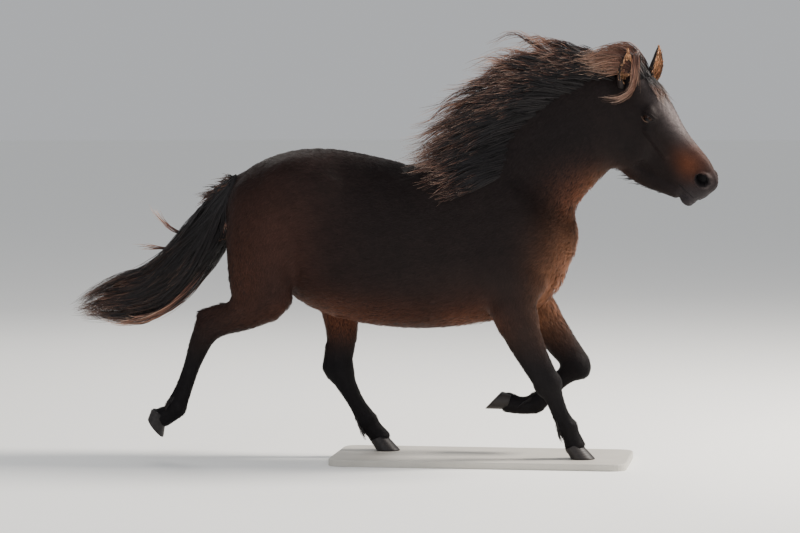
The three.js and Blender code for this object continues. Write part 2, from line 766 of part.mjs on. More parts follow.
function forelocks() {
  const rootOf = ([x, y]) => {
    const from = inHead([x, y, -20]);
    return from.addScaledVector(headFrame.up, reachOf(headOnly, from, headFrame.up) - 14);
  };
  const blown = BLOWN.map(({ root, height, back, left }) => {
    const start = rootOf(root);
    const pathAt = (t) => {
      const rise = height * Math.sin((Math.PI / 2) * Math.min(t * 1.5, 1));
      const p = start.clone().add(vec([-back * t ** 1.5, left * t, rise]));
      return t < 0.1 ? p : clearOf(flesh, p, 5);
    };
    return lock(pathAt, LOCK.mane, () => vec([0, 1, 0]));
  });
  const laid = LAID.map(({ root, heading, length }) => {
    const start = rootOf(root);
    const stream = inHead(heading).sub(inHead([0, 0, 0])).normalize();
    const phase = random(0, 6);
    const pathAt = (t) => {
      const p = start.clone().addScaledVector(stream, length * t);
      p.addScaledVector(headFrame.up, 10 * Math.sin(Math.PI * t));
      p.addScaledVector(headFrame.left, 12 * t * Math.sin(phase + 4 * t));
      return t < 0.1 ? p : clearOf(flesh, p, 5);
    };
    return lock(pathAt, LOCK.fringe, (p) => gradient(flesh, p));
  });
  return [...blown, ...laid];
}

// Long hair under the jaw
function beard() {
  return [70, 125, 180, 235].map((x, i) => {
    const s = i % 2 ? 1 : -1;
    const from = inHead([x, s * 22, -120]);
    const down = headFrame.up.clone().negate();
    const start = from.clone().addScaledVector(down, reachOf(headOnly, from, down) - 9);
    const stream = down.clone().addScaledVector(headFrame.along, -0.55).normalize();
    const length = random(40, 52);
    const bend = (t) => vec([-8 * t * t, 4 * s * t, 0]);
    const pathAt = (t) => start.clone().addScaledVector(stream, length * t).add(bend(t));
    return lock(pathAt, LOCK.beard, () => headFrame.left.clone(), SHORT_SHAPE);
  });
}

// Hair behind the fetlocks
function feather(leg) {
  const at = leg.line.length - 4;
  const [fetlock, above] = [vec(leg.line[at]), vec(leg.line[at - 1])];
  const down = fetlock.clone().sub(above).normalize();
  const back = new THREE.Vector3(down.z, 0, -down.x);
  return [-1, 0, 1].map((s) => {
    const out = back.clone().addScaledVector(new THREE.Vector3(0, 1, 0), s * 0.5).normalize();
    const start = fetlock.clone().addScaledVector(out, 34);
    const stream = down.clone().addScaledVector(out, 0.5).normalize();
    const pathAt = (t) => start.clone().addScaledVector(stream, 74 * t).addScaledVector(out, -14 * t * t);
    return lock(pathAt, LOCK.feather, () => out.clone(), SHORT_SHAPE);
  });
}

// The tail streams along a path, with a half depth and a half width at each point of it
const TAIL_PATH = [
  [-1066, 1186, 44, 42],
  [-1140, 1110, 78, 58],
  [-1208, 990, 94, 70],
  [-1320, 845, 104, 74],
  [-1455, 727, 108, 70],
  [-1590, 680, 112, 58],
  [-1705, 655, 88, 40],
  [-1815, 620, 30, 14],
];
const TAIL_CURVE = new THREE.CatmullRomCurve3(TAIL_PATH.map(([x, z]) => vec([x, 0, z])));
const TAIL_CORE = 0.5; // share of the path that is one solid
const TAIL_ROWS = [
  // number, share of the depth and width, starts, ends
  { count: 7, spread: 0.84, starts: 0.2, ends: 0.86 },
  { count: 6, spread: 0.66, starts: 0.34, ends: 1 },
];

const tailSize = (u) => {
  const place = Math.min(Math.max(u, 0), 1) * (TAIL_PATH.length - 1);
  const k = Math.min(Math.floor(place), TAIL_PATH.length - 2);
  return [2, 3].map((c) => THREE.MathUtils.lerp(TAIL_PATH[k][c], TAIL_PATH[k + 1][c], place - k));
};

// A spot of the tail: a share of its path, a turn about it, and a share of its depth and width there
function tailSpot(u, turn, share) {
  const spot = TAIL_CURVE.getPoint(u);
  const along = TAIL_CURVE.getTangent(u);
  const [deep, wide] = tailSize(u);
  spot.addScaledVector(new THREE.Vector3(along.z, 0, -along.x), deep * share * Math.cos(turn));
  spot.y += wide * share * Math.sin(turn);
  return spot;
}

function tailHeart() {
  const shareAt = (u) => (u < 0.4 ? 0.86 : 0.86 - (u - 0.4) * 4);
  const spotAt = (u, turn) => clearOf(flesh, tailSpot(u, turn, shareAt(u)), 2);
  const ringAt = (u) => Array.from({ length: 12 }, (_, i) => spotAt(u, (Math.PI * i) / 6));
  const rings = [0, 0.05, 0.12, 0.2, 0.28, 0.36, 0.43, 0.48].map(ringAt);
  return ringsToSolid(rings, tailSpot(0, 0, 0), tailSpot(TAIL_CORE, 0, 0));
}

function tailLocks() {
  return TAIL_ROWS.flatMap(({ count, spread, starts, ends }, row) =>
    Array.from({ length: count }, (_, i) => {
      const turn = (2 * Math.PI * (i + 0.5 * row)) / count + random(-0.15, 0.15);
      const [begin, end] = [starts + random(-0.02, 0.03), Math.min(ends * random(0.86, 1.02), 1)];
      const [phase, sway] = [random(0, 6), random(0.05, 0.14)];
      const pathAt = (t) => {
        const u = begin + (end - begin) * t;
        const hold = spread * Math.min(0.6 + t * 1.6, 1);
        return tailSpot(u, turn + sway * Math.sin(phase + 5 * t) * 3, hold);
      };
      return lock(pathAt, LOCK.tail, (p, t) => {
        const middle = TAIL_CURVE.getPoint(begin + (end - begin) * t);
        return p.clone().sub(middle).add(vec([0.01, -6, 0])).normalize();
      });
    }),
  );
}

// Neck

const pastHeadCut = past(HEAD_CUT);
const neckField = (p) => Math.max(trunkFlesh(p), -pastNeckCut(p) - SPARE, pastHeadCut(p) - SPARE);
const neckLine = [
  [150, 0, 1165], [190, -2, 1200], [235, -4, 1245], [285, -6, 1295], [335, -10, 1345], [385, -16, 1392],
  [435, -22, 1436], [485, -29, 1474], [535, -36, 1504], [580, -42, 1522],
];
const neckSkin = castSkin(neckField, neckLine, 26, 3);
let neck = clearOfTrunk(wasm.Manifold.union([keepOuter(neckSkin, NECK_CUT), ...maneLocks()]));

// Head, with its ears and eyes

const neckAndHead = body(NECK_AND_HEAD);
const headOnly = (p) => Math.max(neckAndHead(p), -pastHeadCut(p) - SPARE);
const headLine = [-150, -110, -75, -40, -5, 30, 65, 100, 140, 180, 220, 255, 285, 312, 336, 352].map((x) =>
  inHead([x, 0, x < 60 ? -80 : -80 + (x - 60) * 0.2]).toArray(),
);
let head = keepOuter(castSkin(headOnly, headLine, 26, 3), HEAD_CUT);

// How far the head reaches sideways at a place in its own frame
const headHalf = (x, z, s) => {
  const from = inHead([x, 0, z]);
  const direction = headFrame.left.clone().multiplyScalar(s);
  return reachOf(headOnly, from, direction);
};

const EYE = { x: 4, z: 2, inset: 20, tilt: 38 };
const eyes = mirrored((s) => ({ s, centre: [EYE.x, s * (headHalf(EYE.x, EYE.z, s) - EYE.inset), EYE.z] }));
function ball(centre, radius, detail = 7) {
  const sphere = new THREE.SphereGeometry(radius, detail * 2, detail);
  sphere.translate(...centre);
  return solidOf(sphere.applyMatrix4(headFrame.matrix));
}
const arc = ({ s, centre }, rows, out) =>
  rows.map(([along, lift]) => {
    const [cos, sin] = [Math.cos(degrees(EYE.tilt)), Math.sin(degrees(EYE.tilt))];
    const [x, z] = [along * cos - lift * sin, along * sin + lift * cos];
    const depth = Math.sqrt(Math.max(out * out - x * x - z * z, 1));
    return inHead([centre[0] + x, centre[1] + s * depth, centre[2] + z]);
  });
const UPPER_LID = [[-32, -8], [-23, 8], [-8, 18], [8, 19], [21, 13], [30, 1], [33, -7]];
const LOWER_LID = [[-32, -8], [-21, -16], [-6, -20], [8, -18], [21, -12], [33, -7]];
for (const eye of eyes) {
  const outwards = headFrame.left.clone().multiplyScalar(eye.s);
  const lid = (rows, thick) => {
    const sizes = rows.map((_, i) => {
      const share = Math.sin((Math.PI * (i + 0.6)) / (rows.length + 0.2));
      return [3 + 5 * share, 2 + thick * share];
    });
    return tube(arc(eye, rows, EYE_RADIUS + 8), sizes, 5, rows.map(() => outwards));
  };
  head = head.add(lid(UPPER_LID, 6)).add(lid(LOWER_LID, 4));
}
for (const { s, centre } of eyes) {
  head = head.subtract(ball(centre, EYE_RADIUS + GAP));
}

// Nostrils: a rim round a deep comma-shaped hole
const NOSTRIL = { x: 349, z: 24 };
const NOSTRIL_OUTLINE = [
  [-30, 0], [-20, 18], [0, 32], [21, 32], [38, 18], [38, -3], [23, -21], [0, -25], [-18, -18],
];
for (const s of [1, -1]) {
  const half = headHalf(NOSTRIL.x, NOSTRIL.z, s);
  const at = ([x, z], depth, grow) => {
    const [a, b] = [NOSTRIL.x + x * grow, NOSTRIL.z + z * grow];
    return inHead([a, s * (headHalf(a, b, s) + depth), b]);
  };
  const outwards = headFrame.left.clone().multiplyScalar(s);
  const rim = [...NOSTRIL_OUTLINE, NOSTRIL_OUTLINE[0]].map((spot) => at(spot, 0, 1.08));
  head = head.add(tube(rim, rim.map(() => [5, 5]), 4, rim.map(() => outwards)));
  const wall = (depth, grow) => NOSTRIL_OUTLINE.map((spot) => at(spot, depth, grow));
  const deep = NOSTRIL_OUTLINE.map(([x, z]) =>
    inHead([NOSTRIL.x - 16 + x * 0.45, s * (half - 26), NOSTRIL.z - 4 + z * 0.45]),
  );
  const rings = [wall(14, 0.9), wall(0, 0.82), wall(-9, 0.7), deep];
  const bottom = inHead([NOSTRIL.x - 18, s * (half - 30), NOSTRIL.z - 4]);
  head = head.subtract(ringsToSolid(rings, at([0, 0], 15, 1), bottom));
}

// The mouth line runs from a corner up the side to the front and down the other side
const MOUTH = [[304, -82], [322, -77], [340, -73], [358, -71], [376, -70], [392, -72]];
{
  const sidePoints = (s) => MOUTH.map(([x, z]) => inHead([x, s * (headHalf(x, z, s) + 1), z]));
  const front = reachOf(headOnly, inHead([330, 0, -72]), headFrame.along);
  const nose = inHead([330 + front + 1, 0, -72]);
  const path = [...sidePoints(-1), nose, ...sidePoints(1).reverse()];
  const sizes = path.map((_, i) => {
    const share = Math.sin((Math.PI * (i + 0.5)) / path.length);
    return [2.5 + 1.5 * share, 3 + 5 * share];
  });
  const middle = inHead([300, 0, -78]);
  head = head.subtract(tube(path, sizes, 6, path.map((p) => p.clone().sub(middle))));
}

// Ears: a tall cup whose back is curved and whose front is open
const EARS = [
  { name: "ear_right", root: [-186, -72, -8], tip: [-284, -78, 104], opening: [0.3, -0.6, 0.7] },
  { name: "ear_left", root: [-150, 58, 46], tip: [-240, 72, 158], opening: [0.2, -0.1, 0.95] },
];
const EAR_ROWS = [
  // share of the length, half width, depth behind, depth before
  [-0.12, 28, 25, 22],
  [0.02, 32, 28, 24],
  [0.2, 36, 28, 22],
  [0.4, 37, 25, 18],
  [0.6, 31, 20, 13],
  [0.78, 20, 13, 9],
  [0.92, 9, 7, 4],
];
const EAR_CUP = [
  [0.05, 10, -16, 60],
  [0.2, 26, 9, 60],
  [0.4, 32, 20, 60],
  [0.6, 27, 16, 60],
  [0.78, 16, 9, 60],
  [0.92, 6, 4, 40],
];
function ear({ root, tip, opening }, grow) {
  const [base, point] = [inHead(root), inHead(tip)];
  const up = point.clone().sub(base);
  const length = up.length();
  up.normalize();
  const front = inHead(opening).sub(inHead([0, 0, 0]));
  front.addScaledVector(up, -front.dot(up)).normalize();
  const side = new THREE.Vector3().crossVectors(up, front);
  const ring = (rows, sides, shrink) =>
    rows.map(([share, wide, behind, before]) => {
      const lean = 10 * Math.sin(Math.PI * Math.max(share, 0)) - 8 * share * share;
      const centre = base.clone().addScaledVector(up, share * length - (share < 0 ? grow : 0));
      centre.addScaledVector(front, lean);
      return Array.from({ length: sides }, (_, i) => {
        const turn = (2 * Math.PI * i) / sides;
        const [c, f] = [Math.cos(turn) * (wide + grow - shrink), Math.sin(turn)];
        const deep = f > 0 ? before + grow : behind + grow - shrink;
        return centre.clone().addScaledVector(side, c).addScaledVector(front, f * deep);
      });
    });
  const outer = ring(EAR_ROWS, 10, 0);
  const foot = base.clone().addScaledVector(up, -0.14 * length - grow);
  const shell = ringsToSolid(outer, foot, point.clone().addScaledVector(up, grow));
  if (grow > 0) return shell;
  const cup = ringsToSolid(
    ring(EAR_CUP, 10, 0),
    base.clone().addScaledVector(up, 0.02 * length).addScaledVector(front, 50),
    base.clone().addScaledVector(up, 0.97 * length).addScaledVector(front, 4),
  );
  return shell.subtract(cup);
}
head = wasm.Manifold.union([head, ...forelocks(), ...beard()]);
for (const one of EARS) {
  neck = neck.subtract(ear(one, GAP));
  head = head.subtract(ear(one, GAP));
}
addNode("neck", keepInner(neck, HEAD_CUT), coat);
addNode("head", keepOuter(head, HEAD_CUT), coat);
for (const one of EARS) addNode(one.name, ear(one, 0), coat);
for (const { s, centre } of eyes) {
  addNode(s > 0 ? "eye_left" : "eye_right", ball(centre, EYE_RADIUS), wetEye);
}

// Hooves stand in their own frame: x to the toe, z up from the sole

const hoofMatrix = ({ sole, pitch }) =>
  new THREE.Matrix4().makeRotationY(-degrees(pitch)).setPosition(...sole);
function hoof(leg, size = 1) {
  const sides = 16;
  const rise = 1 / Math.tan(degrees(HOOF.slope));
  const outline = (share, grow) =>
    Array.from({ length: sides }, (_, i) => {
      const turn = (2 * Math.PI * i) / sides;
      const [c, s] = [Math.cos(turn), Math.sin(turn)];
      const long = c > 0 ? HOOF.length * 0.54 : HOOF.length * 0.44;
      const flatten = c < -0.6 ? 1 - 0.25 * (-c - 0.6) : 1;
      const x = c * long * grow * flatten;
      const height = share * (HOOF.back + ((c + 1) / 2) * (HOOF.front - HOOF.back));
      return new THREE.Vector3(x - height * rise, (s * HOOF.width * grow) / 2, height);
    });
  const levels = [[0, 0.96], [0.06, 1], [0.5, 0.92], [0.93, 0.85], [1, 0.8]];
  const rings = levels.map(([share, grow]) => outline(share, grow));
  const middle = (share) => {
    const height = (share * (HOOF.front + HOOF.back)) / 2;
    return new THREE.Vector3(-height * rise, 0, height);
  };
  const centre = middle(0.5);
  const matrix = hoofMatrix(leg.hoof);
  const place = (p) => p.sub(centre).multiplyScalar(size).add(centre).applyMatrix4(matrix);
  return ringsToSolid(rings.map((ring) => ring.map(place)), place(middle(0)), place(middle(1)));
}
const coronetCut = ({ hoof: { sole, pitch } }) => {
  const rise = 1 / Math.tan(degrees(HOOF.slope));
  const height = (HOOF.front + HOOF.back) / 2;
  const matrix = hoofMatrix({ sole, pitch });
  const point = new THREE.Vector3(-height * rise, 0, height).applyMatrix4(matrix);
  const lean = (HOOF.front - HOOF.back) / (HOOF.length * 0.98 * 0.8 + 30 * rise);
  const facing = new THREE.Vector3(lean, 0, -1).normalize().transformDirection(matrix);
  return { point: point.toArray(), facing: facing.toArray() };
};

for (const leg of LEGS) {
  const above = past(leg.root);
  const coronet = coronetCut(leg);
  const belowCoronet = past(coronet);
  const field = body(TRUNK, thighs, leg.shank);
  const foot = vec(coronet.point);
  const pastFoot = (p) => Math.min(belowCoronet(p) - 12, 160 - p.distanceTo(foot));
  const legField = (p) => Math.max(field(p), -above(p) - SPARE, pastFoot(p));
  const skin = castSkin(legField, leg.line, 16, 2, 400);
  const s = legSide(leg);
  const rooted = keepOuter(skin, leg.root).subtract(beyond([0, s * (MIDLINE + GAP), 0], [0, -s, 0]));
  addNode(`${leg.name}_upper`, keepInner(rooted, leg.middle), coat);
  const lower = keepInner(keepOuter(rooted, leg.middle), moved(coronet, -GAP));
  const feathered = wasm.Manifold.union([lower, ...feather(leg)]).subtract(hoof(leg, 1.02));
  addNode(`${leg.name}_lower`, feathered, darkCoat);
  addNode(leg.name.replace("leg", "hoof"), hoof(leg), horn);
}

// Tail: a dock, and the locks that stream from it

const tail = keepOuter(wasm.Manifold.union([tailHeart(), ...tailLocks()]), TAIL_CUT);
addNode("tail", tail.subtract(fullTrunk.subtract(tailRegion)), darkCoat);

// The display base

const outlineShape = new THREE.Shape();
{
  const [x, y, r] = [BASE.length / 2, BASE.width / 2, BASE.corner];
  outlineShape.moveTo(-x + r, -y).lineTo(x - r, -y).quadraticCurveTo(x, -y, x, -y + r);
  outlineShape.lineTo(x, y - r).quadraticCurveTo(x, y, x - r, y);
  outlineShape.lineTo(-x + r, y).quadraticCurveTo(-x, y, -x, y - r);
  outlineShape.lineTo(-x, -y + r).quadraticCurveTo(-x, -y, -x + r, -y);
}
const plate = new THREE.ExtrudeGeometry(outlineShape, {
  depth: BASE.thickness - BASE.bevel,
  bevelEnabled: true,
  bevelThickness: BASE.bevel,
  bevelSize: BASE.bevel,
  bevelOffset: -BASE.bevel,
  bevelSegments: 2,
  curveSegments: 6,
});
addNode("stand_base", solidOf(plate).subtract(beyond([0, 0, 0], [0, 0, -1])), board, part);

export default part;
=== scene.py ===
# %% [markdown]
# # An Icelandic horse at a trot
#
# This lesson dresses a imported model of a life-size horse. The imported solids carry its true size
# and pose; they are faceted, with locks of hair as thick as a hand. Here they are replaced by
# one smooth skin, a short coat of many thin tufts, and long hair made of fine strands.
#
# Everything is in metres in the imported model's own frame: +X is the way the horse faces, +Y is
# its left and +Z is up. The flesh itself is described in millimetres above the ground, because
# that is how the horse was measured.

# %% The frame
import json
import math
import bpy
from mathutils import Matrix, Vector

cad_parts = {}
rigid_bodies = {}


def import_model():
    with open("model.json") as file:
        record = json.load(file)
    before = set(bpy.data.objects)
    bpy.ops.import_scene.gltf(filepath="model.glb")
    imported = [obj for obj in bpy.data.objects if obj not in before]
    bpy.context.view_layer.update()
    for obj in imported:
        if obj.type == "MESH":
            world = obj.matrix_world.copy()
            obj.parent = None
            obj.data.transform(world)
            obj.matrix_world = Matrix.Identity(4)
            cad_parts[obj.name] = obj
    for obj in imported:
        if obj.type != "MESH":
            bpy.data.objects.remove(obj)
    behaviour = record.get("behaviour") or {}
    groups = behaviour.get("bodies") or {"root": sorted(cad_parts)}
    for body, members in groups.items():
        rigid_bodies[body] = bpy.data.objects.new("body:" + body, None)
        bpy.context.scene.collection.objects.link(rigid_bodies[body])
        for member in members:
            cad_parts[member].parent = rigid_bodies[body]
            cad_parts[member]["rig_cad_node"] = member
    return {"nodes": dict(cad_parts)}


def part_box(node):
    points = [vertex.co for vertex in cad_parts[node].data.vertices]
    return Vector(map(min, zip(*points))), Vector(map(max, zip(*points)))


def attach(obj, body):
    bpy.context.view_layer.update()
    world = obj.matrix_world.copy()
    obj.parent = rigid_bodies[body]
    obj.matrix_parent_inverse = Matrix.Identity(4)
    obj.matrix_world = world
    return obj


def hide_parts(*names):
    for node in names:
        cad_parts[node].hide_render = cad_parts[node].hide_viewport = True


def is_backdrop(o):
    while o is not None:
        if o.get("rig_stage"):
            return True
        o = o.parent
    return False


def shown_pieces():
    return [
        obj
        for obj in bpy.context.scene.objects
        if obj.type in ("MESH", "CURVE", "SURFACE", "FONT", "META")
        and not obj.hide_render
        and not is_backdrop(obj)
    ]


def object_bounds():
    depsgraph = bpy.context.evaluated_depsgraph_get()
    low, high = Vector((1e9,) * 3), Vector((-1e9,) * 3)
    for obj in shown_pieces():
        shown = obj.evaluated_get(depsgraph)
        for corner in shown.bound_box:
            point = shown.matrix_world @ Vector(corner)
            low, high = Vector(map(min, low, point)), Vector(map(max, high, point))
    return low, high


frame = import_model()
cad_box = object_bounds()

from concurrent.futures import ThreadPoolExecutor

import bmesh
import bpy
import numpy as np
from mathutils import Vector
from mathutils.kdtree import KDTree

MM = 0.001
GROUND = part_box("hoof_fore_right")[0].z  # the top of the base, where the standing hooves rest
print("solids", len(frame["nodes"]), "box", [round(c, 3) for corner in cad_box for c in corner])

# %% [markdown]
# ## Camera, floor and light
#
# The photograph was taken from far off with a long lens, a little ahead of the horse's near side
# and just above its back. A camera that far away flattens the shape, so distance and lens are both
# copied, not just the framing. The aim is a point on the horse's middle plane.

# %% Camera
AZIMUTH = math.radians(8)
ELEVATION = math.radians(3.6)
DISTANCE = 14.2
MM_PER_PIXEL = 4.4
AIM = Vector((-0.365, 0, 0.825 + GROUND))
IMAGE_WIDTH = 800
SENSOR = 36

back = Vector((
    math.sin(AZIMUTH) * math.cos(ELEVATION),
    -math.cos(AZIMUTH) * math.cos(ELEVATION),
    math.sin(ELEVATION),
))
camera = bpy.data.objects.new("camera", bpy.data.cameras.new("camera"))
bpy.context.collection.objects.link(camera)
camera.location = AIM + back * DISTANCE
camera.rotation_mode = "QUATERNION"
camera.rotation_quaternion = (-back).to_track_quat("-Z", "Y")
camera.data.sensor_width = SENSOR
camera.data.lens = DISTANCE / (MM_PER_PIXEL * MM) * SENSOR / IMAGE_WIDTH
camera.data.clip_end = 200
bpy.context.scene.camera = camera
print("lens", round(camera.data.lens, 1), "mm, camera height", round(camera.location.z, 2), "m")

# %% [markdown]
# A material is a few nodes. The helpers below add a node, set its sockets by name and link them,
# so that each material further down reads as a short recipe.

# %% Material helpers
def new_material(name, rough, specular=0.5):
    material = bpy.data.materials.new(name)
    material.use_nodes = True
    shader = material.node_tree.nodes["Principled BSDF"]
    shader.inputs["Roughness"].default_value = rough
    shader.inputs["Specular IOR Level"].default_value = specular
    return material, material.node_tree, shader


def add_node(tree, kind, **sockets):
    """A node with its sockets set: a value, or another node's output to link from."""
    node = tree.nodes.new("ShaderNode" + kind)
    for name, value in sockets.items():
        if name.startswith("set_"):
            setattr(node, name[4:], value)
    for name, value in sockets.items():
        if name.startswith("set_"):
            continue
        key = int(name[1:]) if name[0] == "i" and name[1:].isdigit() else name.replace("_", " ")
        socket = node.inputs[key]
        if isinstance(value, bpy.types.NodeSocket):
            tree.links.new(value, socket)
        else:
            socket.default_value = value
    return node


def colour_layer(tree):
    """The colours written to a piece's points, as its material reads them."""
    return add_node(tree, "Attribute", set_attribute_name="coat").outputs["Color"]


def noise(tree, scale, detail):
    """A cloudy pattern in the model's own space, the same from every side."""
    where = add_node(tree, "TexCoord").outputs["Object"]
    return add_node(tree, "TexNoise", Vector=where, Scale=scale, Detail=detail).outputs["Fac"]


def mix_colour(tree, factor, a, b, blend="MIX"):
    node = add_node(tree, "Mix", set_data_type="RGBA", set_blend_type=blend, i0=factor)
    for key, value in ((6, a), (7, b)):
        if isinstance(value, bpy.types.NodeSocket):
            tree.links.new(value, node.inputs[key])
        else:
            node.inputs[key].default_value = (*value, 1)
    return node.outputs[2]


def bump(tree, shader, height, distance, strength=1.0):
    node = add_node(tree, "Bump", Height=height, Distance=distance, Strength=strength)
    tree.links.new(node.outputs[0], shader.inputs["Normal"])


def srgb(r, g, b):
    """A colour as read off a screen, 0 to 255, turned to the linear light that shaders use."""
    shares = (r / 255, g / 255, b / 255)
    return tuple(c / 12.92 if c <= 0.04045 else ((c + 0.055) / 1.055) ** 2.4 for c in shares)


print("a screen's middle grey is", round(srgb(128, 128, 128)[0], 3), "in linear light")

# %% [markdown]
# The floor is a pale disc far wider than the horse, so that no edge shows from any side. A wall
# would hide the horse when the camera walks round it, so the world's own pale light is the
# background.

# %% Floor
FLOOR_RADIUS = 60
FLOOR_SIDES = 64
FLOOR_DROP = 0.0005  # the floor lies this far under the base, so that no two faces share a plane
floor_mesh = bpy.data.meshes.new("floor")
rim = [
    (FLOOR_RADIUS * math.cos(a), FLOOR_RADIUS * math.sin(a), -FLOOR_DROP)
    for a in np.linspace(0, 2 * math.pi, FLOOR_SIDES + 1)[:-1]
]
floor_mesh.from_pydata(rim, [], [list(range(FLOOR_SIDES))])
floor = bpy.data.objects.new("floor", floor_mesh)
bpy.context.collection.objects.link(floor)
floor_paint, _, floor_shader = new_material("pale_floor", 0.85, 0.1)
floor_shader.inputs["Base Color"].default_value = (*srgb(250, 250, 248), 1)
floor_mesh.materials.append(floor_paint)
floor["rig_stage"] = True

world = bpy.data.worlds.new("studio")
bpy.context.scene.world = world
world.use_nodes = True
world.node_tree.nodes["Background"].inputs["Color"].default_value = (0.92, 0.94, 0.97, 1)
world.node_tree.nodes["Background"].inputs["Strength"].default_value = 0.55
print("floor", 2 * FLOOR_RADIUS, "m across")

# %% [markdown]
# The photograph's light comes from high up, ahead of the horse and beyond it, so the near side lies
# in its own shade. The key light stands there. A weak fill opens the shade a little and a rim light
# from behind draws the line of the back.

# %% Lights
def area_light(name, place, aim, size, power, colour):
    light = bpy.data.objects.new(name, bpy.data.lights.new(name, "AREA"))
    bpy.context.collection.objects.link(light)
    light.location = place
    light.rotation_mode = "QUATERNION"
    light.rotation_quaternion = (Vector(aim) - Vector(place)).to_track_quat("-Z", "Y")
    light.data.shape = "DISK"
    light.data.size = size
    light.data.energy = power
    light.data.color = colour
    print("light", name, power, "W")


area_light("key", (5.2, 1.2, 5.2), (-0.1, 0, 1.1), 2.0, 1200, (1, 0.94, 0.86))
area_light("fill", (-1.5, -7.0, 4.5), (-0.4, 0, 0.9), 5.0, 170, (0.95, 0.97, 1))
area_light("back_rim", (-3.0, 5.5, 5.0), (-0.6, 0, 1.2), 3.0, 120, (1, 0.96, 0.9))

# %% [markdown]
# ## The flesh
#
# A horse's body is easiest to describe as a few lofted limbs, each a row of oval sections, with
# muscles as ovals on top. Each shape gives, for any point, about how far that point is from its
# surface, and is negative inside. A smooth minimum joins them so that a shoulder flows into a leg
# as skin does. This could be sculpted by hand, or built from metaballs, but a field can be asked
# for its surface, its normal and its distance anywhere, which the coat and the hair need later.

# %% A limb as a field
FAR = 1e4  # farther than any real distance, in millimetres


def unit(v):
    return v / np.linalg.norm(v, axis=-1, keepdims=True)


def within(p, low, high):
    """Which points lie in a box, tried one axis at a time so that few are left for the next."""
    kept = np.flatnonzero((p[:, 0] > low[0]) & (p[:, 0] < high[0]))
    for axis in (2, 1):
        value = p[kept, axis]
        kept = kept[(value > low[axis]) & (value < high[axis])]
    return kept


def side_and_normal(along):
    side = unit(np.array([0.0, 1.0, 0.0]) - along * along[1])
    return side, np.cross(along, side)


def span_distance(p, start, end):
    """Distance to one span of a limb, with how far along and which way round each point is."""
    axis = end[:3] - start[:3]
    length = np.linalg.norm(axis)
    along = axis / length
    side, normal = side_and_normal(along)
    offset = p - start[:3]
    reach = offset @ along
    t = np.clip(reach / length, 0, 1)
    size = start[3:] + t[:, None] * (end[3:] - start[3:])
    across, lift, over = offset @ side, offset @ normal, reach - t * length
    wide, tall = size[:, 0], np.where(lift > 0, size[:, 1], size[:, 2])
    least = np.minimum(wide, tall)
    a, b, c = across / wide, lift / tall, over / least
    share = np.sqrt(a * a + b * b + c * c)
    slope = np.sqrt((a / wide) ** 2 + (b / tall) ** 2 + (c / least) ** 2) + 1e-9
    return share * (share - 1) / slope, t, np.arctan2(lift, across)


def smooth_rows(rows, pieces=3):
    """More stations through the given ones, on a smooth curve, so that no joint is a crease."""
    rows = np.array(rows, float)
    padded = np.vstack([2 * rows[0] - rows[1], rows, 2 * rows[-1] - rows[-2]])
    out = []
    for a, b, c, d in zip(padded, padded[1:], padded[2:], padded[3:]):
        for t in np.arange(pieces) / pieces:
            out.append(0.5 * (
                2 * b + (c - a) * t + (2 * a - 5 * b + 4 * c - d) * t**2 + (3 * b - a - 3 * c + d) * t**3
            ))
    return np.array(out + [rows[-1]])


def limb(rows, blend=30.0):
    rows = smooth_rows(rows)
    spans = list(zip(rows, rows[1:]))

    def distance(p):
        nearest = np.full(len(p), FAR)
        for start, end in spans:
            reach = np.maximum(start[3:].max(), end[3:].max()) + 50
            low = np.minimum(start[:3], end[:3]) - reach
            high = np.maximum(start[:3], end[:3]) + reach
            near = within(p, low, high)
            if len(near):
                nearest[near] = np.minimum(nearest[near], span_distance(p[near], start, end)[0])
        return nearest

    size = rows[:, 3:].max()
    low, high = rows[:, :3].min(0) - size, rows[:, :3].max(0) + size
    return {"distance": distance, "blend": blend, "low": low, "high": high}


post = limb([(0, 0, 0, 50, 50, 50), (0, 0, 400, 50, 50, 50)])
print("a post of 50 mm, from 80 mm off its axis:", post["distance"](np.array([[80.0, 0, 200]])).round(), "mm")

# %% [markdown]
# A muscle is an oval laid on the limbs, and a hollow is an oval pressed out of them. The smooth
# minimum below gives the rounded valley between two muscles; its width is the shape's own blend.

# %% Muscles, hollows and the whole body
def muscle(centre, radii, blend=30.0, lean=0.0):
    centre, radii = np.array(centre, float), np.array(radii, float)
    cos, sin = math.cos(math.radians(lean)), math.sin(math.radians(lean))

    def distance(p):
        q = p - centre
        q = np.stack([q[:, 0] * cos - q[:, 2] * sin, q[:, 1], q[:, 0] * sin + q[:, 2] * cos], 1)
        share = np.linalg.norm(q / radii, axis=1)
        slope = np.linalg.norm(q / radii**2, axis=1) + 1e-9
        return share * (share - 1) / slope

    low, high = centre - radii.max(), centre + radii.max()
    return {"distance": distance, "blend": blend, "low": low, "high": high}


def hollow(shape):
    return {**shape, "hollow": True}


def smooth_min(a, b, blend):
    h = np.maximum(blend - np.abs(a - b), 0) / blend
    return np.minimum(a, b) - h * h * blend / 4


def body(shapes):
    """All the shapes as one field. A shape is left out where it is too far off to matter."""

    def field(p):
        total = np.full(len(p), FAR)
        for shape in shapes:
            room = shape["blend"] + 60
            near = within(p, shape["low"] - room, shape["high"] + room)
            if not len(near):
                continue
            d, so_far = shape["distance"](p[near]), total[near]
            if shape.get("hollow"):
                total[near] = -smooth_min(-so_far, d, shape["blend"])
            else:
                total[near] = smooth_min(so_far, d, shape["blend"])
        return total

    return field


two_muscles = body([muscle((0, 0, 0), (40, 40, 40)), muscle((70, 0, 0), (40, 40, 40))])
print("between two muscles, 30 mm out:", two_muscles(np.array([[35.0, 30, 0]])).round(1), "mm")

# %% [markdown]
# Three questions are asked of the field again and again: its value at very many points, which way
# it rises, and how far the flesh reaches from a point inside it.

